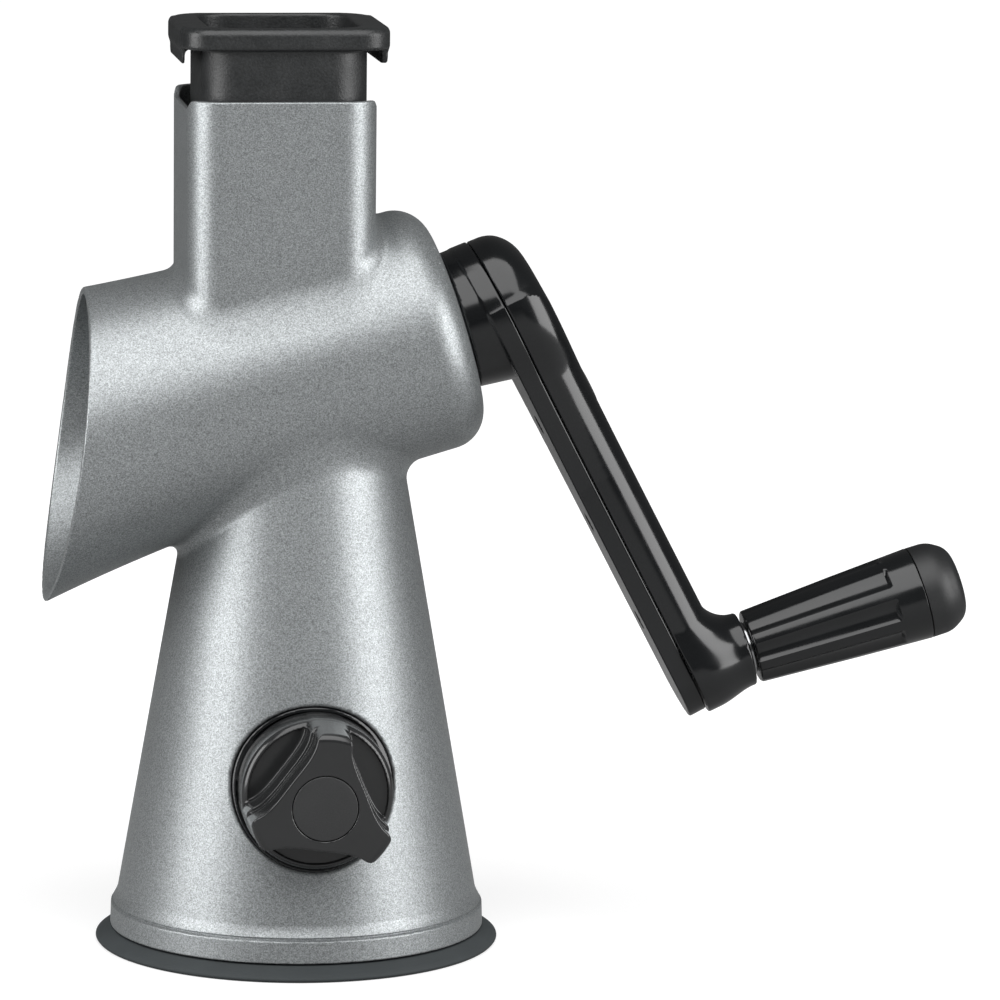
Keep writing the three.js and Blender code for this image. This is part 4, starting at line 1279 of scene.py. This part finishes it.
# ---- the grating drum ----
class DrumSettings(bpy.types.PropertyGroup):
    """Sizes of the grating drum"""

    columns: count_property("Teeth round", "Teeth round the drum", 36, 8)
    rows: count_property("Rows", "Rows of teeth along the drum", 14, 1)
    band: length_property("Plain band", "Width of the plain band at each end", 0.004)
    wall: length_property("Wall", "Thickness of the sheet", 0.0008)
    hole: share_property("Hole", "Radius of each hole, as a share of the way to the next", 0.29)
    tooth: length_property("Tooth", "Height of each tooth above the sheet", 0.001)


def tooth_tile(wall, hole, tooth):
    """One square of the sheet, a unit wide each way, with a hole whose far side is raised into a tooth."""
    edge = [(0.5, 0), (0.5, 0.5), (0, 0.5), (-0.5, 0.5), (-0.5, 0), (-0.5, -0.5), (0, -0.5), (0.5, -0.5)]
    round_hole = [(hole * math.cos(i * math.pi / 4), hole * math.sin(i * math.pi / 4)) for i in range(8)]
    lifts = [tooth * max(0.0, v / hole) for u, v in round_hole]
    rings = [
        [(u, v, 0.0) for u, v in edge],
        [(u, v, lift) for (u, v), lift in zip(round_hole, lifts)],
        [(u, v, -wall) for u, v in round_hole],
        [(u, v, -wall) for u, v in edge],
    ]
    vertices = [corner for ring in rings for corner in ring]
    faces = [
        (8 * ring + i, 8 * ring + (i + 1) % 8, 8 * ring + 8 + (i + 1) % 8, 8 * ring + 8 + i)
        for ring in range(3) for i in range(8)
    ]
    mesh = bpy.data.meshes.new("drum_toothed_barrel")
    mesh.from_pydata(vertices, [], faces)
    return object_of("drum_toothed_barrel", mesh)


def drum_tree():
    """Repeats a unit tile in rows and columns and wraps the sheet round X."""
    tree = Tree("wrapped sheet", [
        ("Columns", "Int", 36), ("Rows", "Int", 14), ("Start", "Float", -0.084), ("End", "Float", -0.014),
        ("Radius", "Float", 0.0315), ("Material", "Material", None),
    ])
    at = tree.inputs
    index = tree.node("GeometryNodeInputIndex")[0]
    column = tree.maths("FLOORED_MODULO", index, at["Columns"])
    row = tree.maths("FLOOR", tree.maths("DIVIDE", index, at["Columns"]))
    count = tree.maths("MULTIPLY", at["Columns"], at["Rows"])
    centre = tree.vector(tree.maths("ADD", row, 0.5), column, 0.0)
    points = tree.node("GeometryNodePoints", [("Count", count), ("Position", centre)])[0]
    copies = tree.node("GeometryNodeInstanceOnPoints", [
        ("Points", points), ("Instance", at["Geometry"])])[0]
    sheet = tree.node("GeometryNodeRealizeInstances", [("Geometry", copies)])[0]
    place = tree.node("ShaderNodeSeparateXYZ", [(0, tree.node("GeometryNodeInputPosition")[0])])
    length = tree.maths("SUBTRACT", at["End"], at["Start"])
    along = tree.maths("MULTIPLY_ADD", tree.maths("DIVIDE", place[0], at["Rows"]), length, at["Start"])
    angle = tree.maths("MULTIPLY", tree.maths("DIVIDE", place[1], at["Columns"]), 2 * math.pi)
    radius = tree.maths("ADD", at["Radius"], place[2])
    across = tree.maths("MULTIPLY", radius, tree.maths("COSINE", angle))
    above = tree.maths("MULTIPLY", radius, tree.maths("SINE", angle))
    wrapped = tree.node("GeometryNodeSetPosition", [
        ("Geometry", sheet), ("Position", tree.vector(along, across, above))])[0]
    joined = tree.node("GeometryNodeMergeByDistance", [("Geometry", wrapped), ("Distance", 0.00001)])[0]
    tree.finish(joined, at["Material"])
    return tree


def close_ends(made, band):
    """Draws the sheet's open ends out by the plain band and closes each across the sheet's thickness."""
    work = bmesh.new()
    work.from_mesh(made.data)
    middle = sum((vertex.co.x for vertex in work.verts)) / len(work.verts)
    for side in (-1, 1):
        rim = [edge for edge in work.edges if edge.is_boundary]
        open_edges = [edge for edge in rim if (edge.verts[0].co.x - middle) * side > 0]
        drawn = bmesh.ops.extrude_edge_only(work, edges=open_edges)["geom"]
        for vertex in (item for item in drawn if isinstance(item, bmesh.types.BMVert)):
            vertex.co.x += side * band
        bmesh.ops.bridge_loops(work, edges=[item for item in drawn if isinstance(item, bmesh.types.BMEdge)])
    work.to_mesh(made.data)
    work.free()


class GRATER_OT_drum(bpy.types.Operator):
    """Build the grating drum's toothed barrel"""

    bl_idname = "grater.drum"
    bl_label = "Grating drum"

    def execute(self, context):
        s = context.scene.grater_drum
        bright = bare_metal("stainless steel", (0.60, 0.61, 0.62), 0.22, 0.34, (4, 1, 1))
        barrel = tooth_tile(s.wall, s.hole, s.tooth)
        drum_tree().run(
            barrel, Columns=s.columns, Rows=s.rows, Start=DRUM_FAR + s.band, End=DRUM_NEAR - s.band,
            Radius=DRUM_RADIUS, Material=bright)
        close_ends(barrel, s.band)
        finish_mesh(barrel, math.radians(30))
        barrel.data.transform(TO_AXIS)
        finished(barrel, "drum", bright, "steel", "drum_barrel")
        return {"FINISHED"}


# ---- the screws ----
class ScrewSettings(bpy.types.PropertyGroup):
    """Sizes that the screws share"""

    slot: length_property("Slot", "Half the width of the cross recess's slots", 0.00042)
    depth: share_property("Recess depth", "Share of the head's height", 0.6)


def cross_screw(name, s, head, height, shank, length):
    """A pan-head screw along +Z, its head's underside at the origin, with a cross recess in the head."""
    a, b = s.slot, head * 0.55
    cross = [
        (b, -a), (b, a), (a, a), (a, b), (-a, b), (-a, a),
        (-b, a), (-b, -a), (-a, -a), (-a, -b), (a, -b), (a, -a),
    ]
    angles = [math.radians(90 * quarter + turn) for quarter in range(4) for turn in (-18, 18, 45)]

    def ring(radius, z):
        return [(radius * math.cos(angle), radius * math.sin(angle), z) for angle in angles]

    top = -height
    rings = [
        [(u * 0.6, v * 0.6, top + height * s.depth) for u, v in cross], [(u, v, top) for u, v in cross],
        ring(head * 0.72, top), ring(head * 0.93, top * 0.75), ring(head, top * 0.45), ring(head, 0),
        ring(shank, 0), ring(shank, length - 0.001), ring(shank * 0.2, length),
    ]
    vertices = [corner for loop in rings for corner in loop]
    sides = [
        (12 * loop + i, 12 * loop + (i + 1) % 12, 12 * loop + 12 + (i + 1) % 12, 12 * loop + 12 + i)
        for loop in range(len(rings) - 1) for i in range(12)
    ]
    last = 12 * (len(rings) - 1)
    mesh = bpy.data.meshes.new(name)
    mesh.from_pydata(vertices, [], sides + [tuple(range(12)), tuple(range(last, last + 12))])
    return object_of(name, mesh)


def screw_tree():
    """Copies a screw from a start, each copy a step further and a turn further round Z."""
    tree = Tree("screws in a row", [
        ("Count", "Int", 1), ("Start", "Vector", None), ("Step", "Vector", None), ("Turn", "Float", 0.0),
        ("Heading", "Rotation", None), ("Material", "Material", None),
    ])
    at = tree.inputs
    index = tree.node("GeometryNodeInputIndex")[0]
    steps = tree.node("ShaderNodeVectorMath", [(0, at["Step"]), (3, index)], operation="SCALE")[0]
    stepped = tree.node("ShaderNodeVectorMath", [(0, at["Start"]), (1, steps)], operation="ADD")[0]
    angle = tree.maths("MULTIPLY", index, at["Turn"])
    turned_place = tree.node(
        "ShaderNodeVectorRotate", [("Vector", stepped), ("Angle", angle)], rotation_type="Z_AXIS")[0]
    points = tree.node("GeometryNodePoints", [("Count", at["Count"]), ("Position", turned_place)])[0]
    copies = tree.node("GeometryNodeInstanceOnPoints", [
        ("Points", points), ("Instance", at["Geometry"]), ("Rotation", at["Heading"])])[0]
    tree.finish(copies, at["Material"])
    return tree


class GRATER_OT_screws(bpy.types.Operator):
    """Build every screw, one mesh for each row of them"""

    bl_idname = "grater.screws"
    bl_label = "Screws"

    def row(self, s, tree, zinc, name, sizes, place, body, nodes, **values):
        """Screws of those sizes: the head's radius and height, the shank's radius and length."""
        screws = cross_screw(name, s, *sizes)
        tree.run(screws, Count=len(nodes), Material=zinc, **values)
        screws.data.transform(place)
        finish_mesh(screws, math.radians(35))
        finished(screws, body, zinc, "screw_steel", *nodes)

    def execute(self, context):
        s = context.scene.grater_screws
        tree = screw_tree()
        zinc = bare_metal("zinc-plated steel", (0.55, 0.56, 0.57), 0.28, 0.4)
        self.row(
            s, tree, zinc, "base_screws", (0.0032, 0.0024, 0.0014, 0.018), Matrix(), "body",
            ["frame_screw_1", "frame_screw_2", "frame_screw_3"],
            Start=(0, SCREW_CIRCLE, 0.0197), Turn=math.radians(120))
        along_x = (0, math.pi / 2, 0)
        self.row(
            s, tree, zinc, "arm_screws", (0.0029, 0.0019, 0.0014, 0.0105), TO_ARM, "crank",
            ["crank_screw_1", "crank_screw_2", "crank_screw_3"],
            Start=(ARM_FACE + 0.0025, 0, CRANK_SCREW_HEIGHTS[0]), Heading=along_x,
            Step=(0, 0, CRANK_SCREW_HEIGHTS[1] - CRANK_SCREW_HEIGHTS[0]))
        self.row(
            s, tree, zinc, "shaft_end_screw", (0.0044, 0.0026, 0.0021, 0.020), TO_AXIS, "crank",
            ["shaft_screw"], Start=(0.0125, 0, 0), Heading=(0, -math.pi / 2, 0))
        self.row(
            s, tree, zinc, "knob_centre_screw", (0.0034, 0.0019, 0.0014, 0.022),
            Matrix.Translation(KNOB_CENTRE), "knob", ["knob_screw"],
            Start=(0, -0.0743, 0), Heading=(-math.pi / 2, 0, 0))
        return {"FINISHED"}


# ---- the works inside, whose plain shapes stay as they are ----
class WorksSettings(bpy.types.PropertyGroup):
    """Colours of the works inside"""

    white: colour_property("White plastic", "Yoke and bushes", (0.62, 0.61, 0.57))
    grey: colour_property("Grey plastic", "Drive bush and drum hub", (0.20, 0.21, 0.22))
    metal: colour_property("Steel", "Shaft, spindle, axle and spring", (0.56, 0.57, 0.58))


class GRATER_OT_works(bpy.types.Operator):
    """Finish the frame, the yoke, the bushes, the shafts, the spring and the clips"""

    bl_idname = "grater.works"
    bl_label = "Works inside"

    def execute(self, context):
        s = context.scene.grater_works
        dress(plain_plastic("white plastic", s.white), "lift_yoke", "front_bush", "rear_bush")
        dress(plain_plastic("grey plastic", s.grey), "drive_bush", "drum_hub")
        dress(satin_black("satin black frame"), "base_frame")
        turned_steel = bare_metal("turned steel", s.metal, 0.25, 0.38, (1, 6, 6))
        dress(turned_steel, "drive_shaft", "cam_spindle", "grip_axle")
        dress(bare_metal("spring steel", s.metal, 0.3, 0.42), "yoke_spring", "spindle_clip", "bush_clip")
        return {"FINISHED"}


# ---- the add-on ----
SETTINGS = {
    "grater_body": BodySettings,
    "grater_foot": FootSettings,
    "grater_knob": KnobSettings,
    "grater_pusher": PusherSettings,
    "grater_crank": CrankSettings,
    "grater_grip": GripSettings,
    "grater_drum": DrumSettings,
    "grater_screws": ScrewSettings,
    "grater_works": WorksSettings,
    "grater_stage": StageSettings,
}
OPERATORS = (
    GRATER_OT_body,
    GRATER_OT_foot,
    GRATER_OT_knob,
    GRATER_OT_pusher,
    GRATER_OT_crank,
    GRATER_OT_grip,
    GRATER_OT_drum,
    GRATER_OT_screws,
    GRATER_OT_works,
    GRATER_OT_stage,
)


class GRATER_PT_pieces(bpy.types.Panel):
    """The grater's pieces and their sizes"""

    bl_idname = "GRATER_PT_pieces"
    bl_label = "Grater"
    bl_space_type = "VIEW_3D"
    bl_region_type = "UI"
    bl_category = "Grater"

    def draw(self, context):
        for operator in OPERATORS:
            self.layout.operator(operator.bl_idname)
        for name, kind in SETTINGS.items():
            box = self.layout.box()
            box.label(text=kind.__doc__)
            for size in kind.__annotations__:
                box.prop(getattr(context.scene, name), size)


def register():
    for kind in (*SETTINGS.values(), *OPERATORS, GRATER_PT_pieces):
        bpy.utils.register_class(kind)
    for name, kind in SETTINGS.items():
        setattr(bpy.types.Scene, name, bpy.props.PointerProperty(type=kind))


def unregister():
    for name in SETTINGS:
        delattr(bpy.types.Scene, name)
    for kind in (GRATER_PT_pieces, *reversed(OPERATORS), *reversed(SETTINGS.values())):
        bpy.utils.unregister_class(kind)


def main():
    register()
    for operator in OPERATORS:
        group, name = operator.bl_idname.split(".")
        getattr(getattr(bpy.ops, group), name)()


if __name__ == "__main__":
    main()
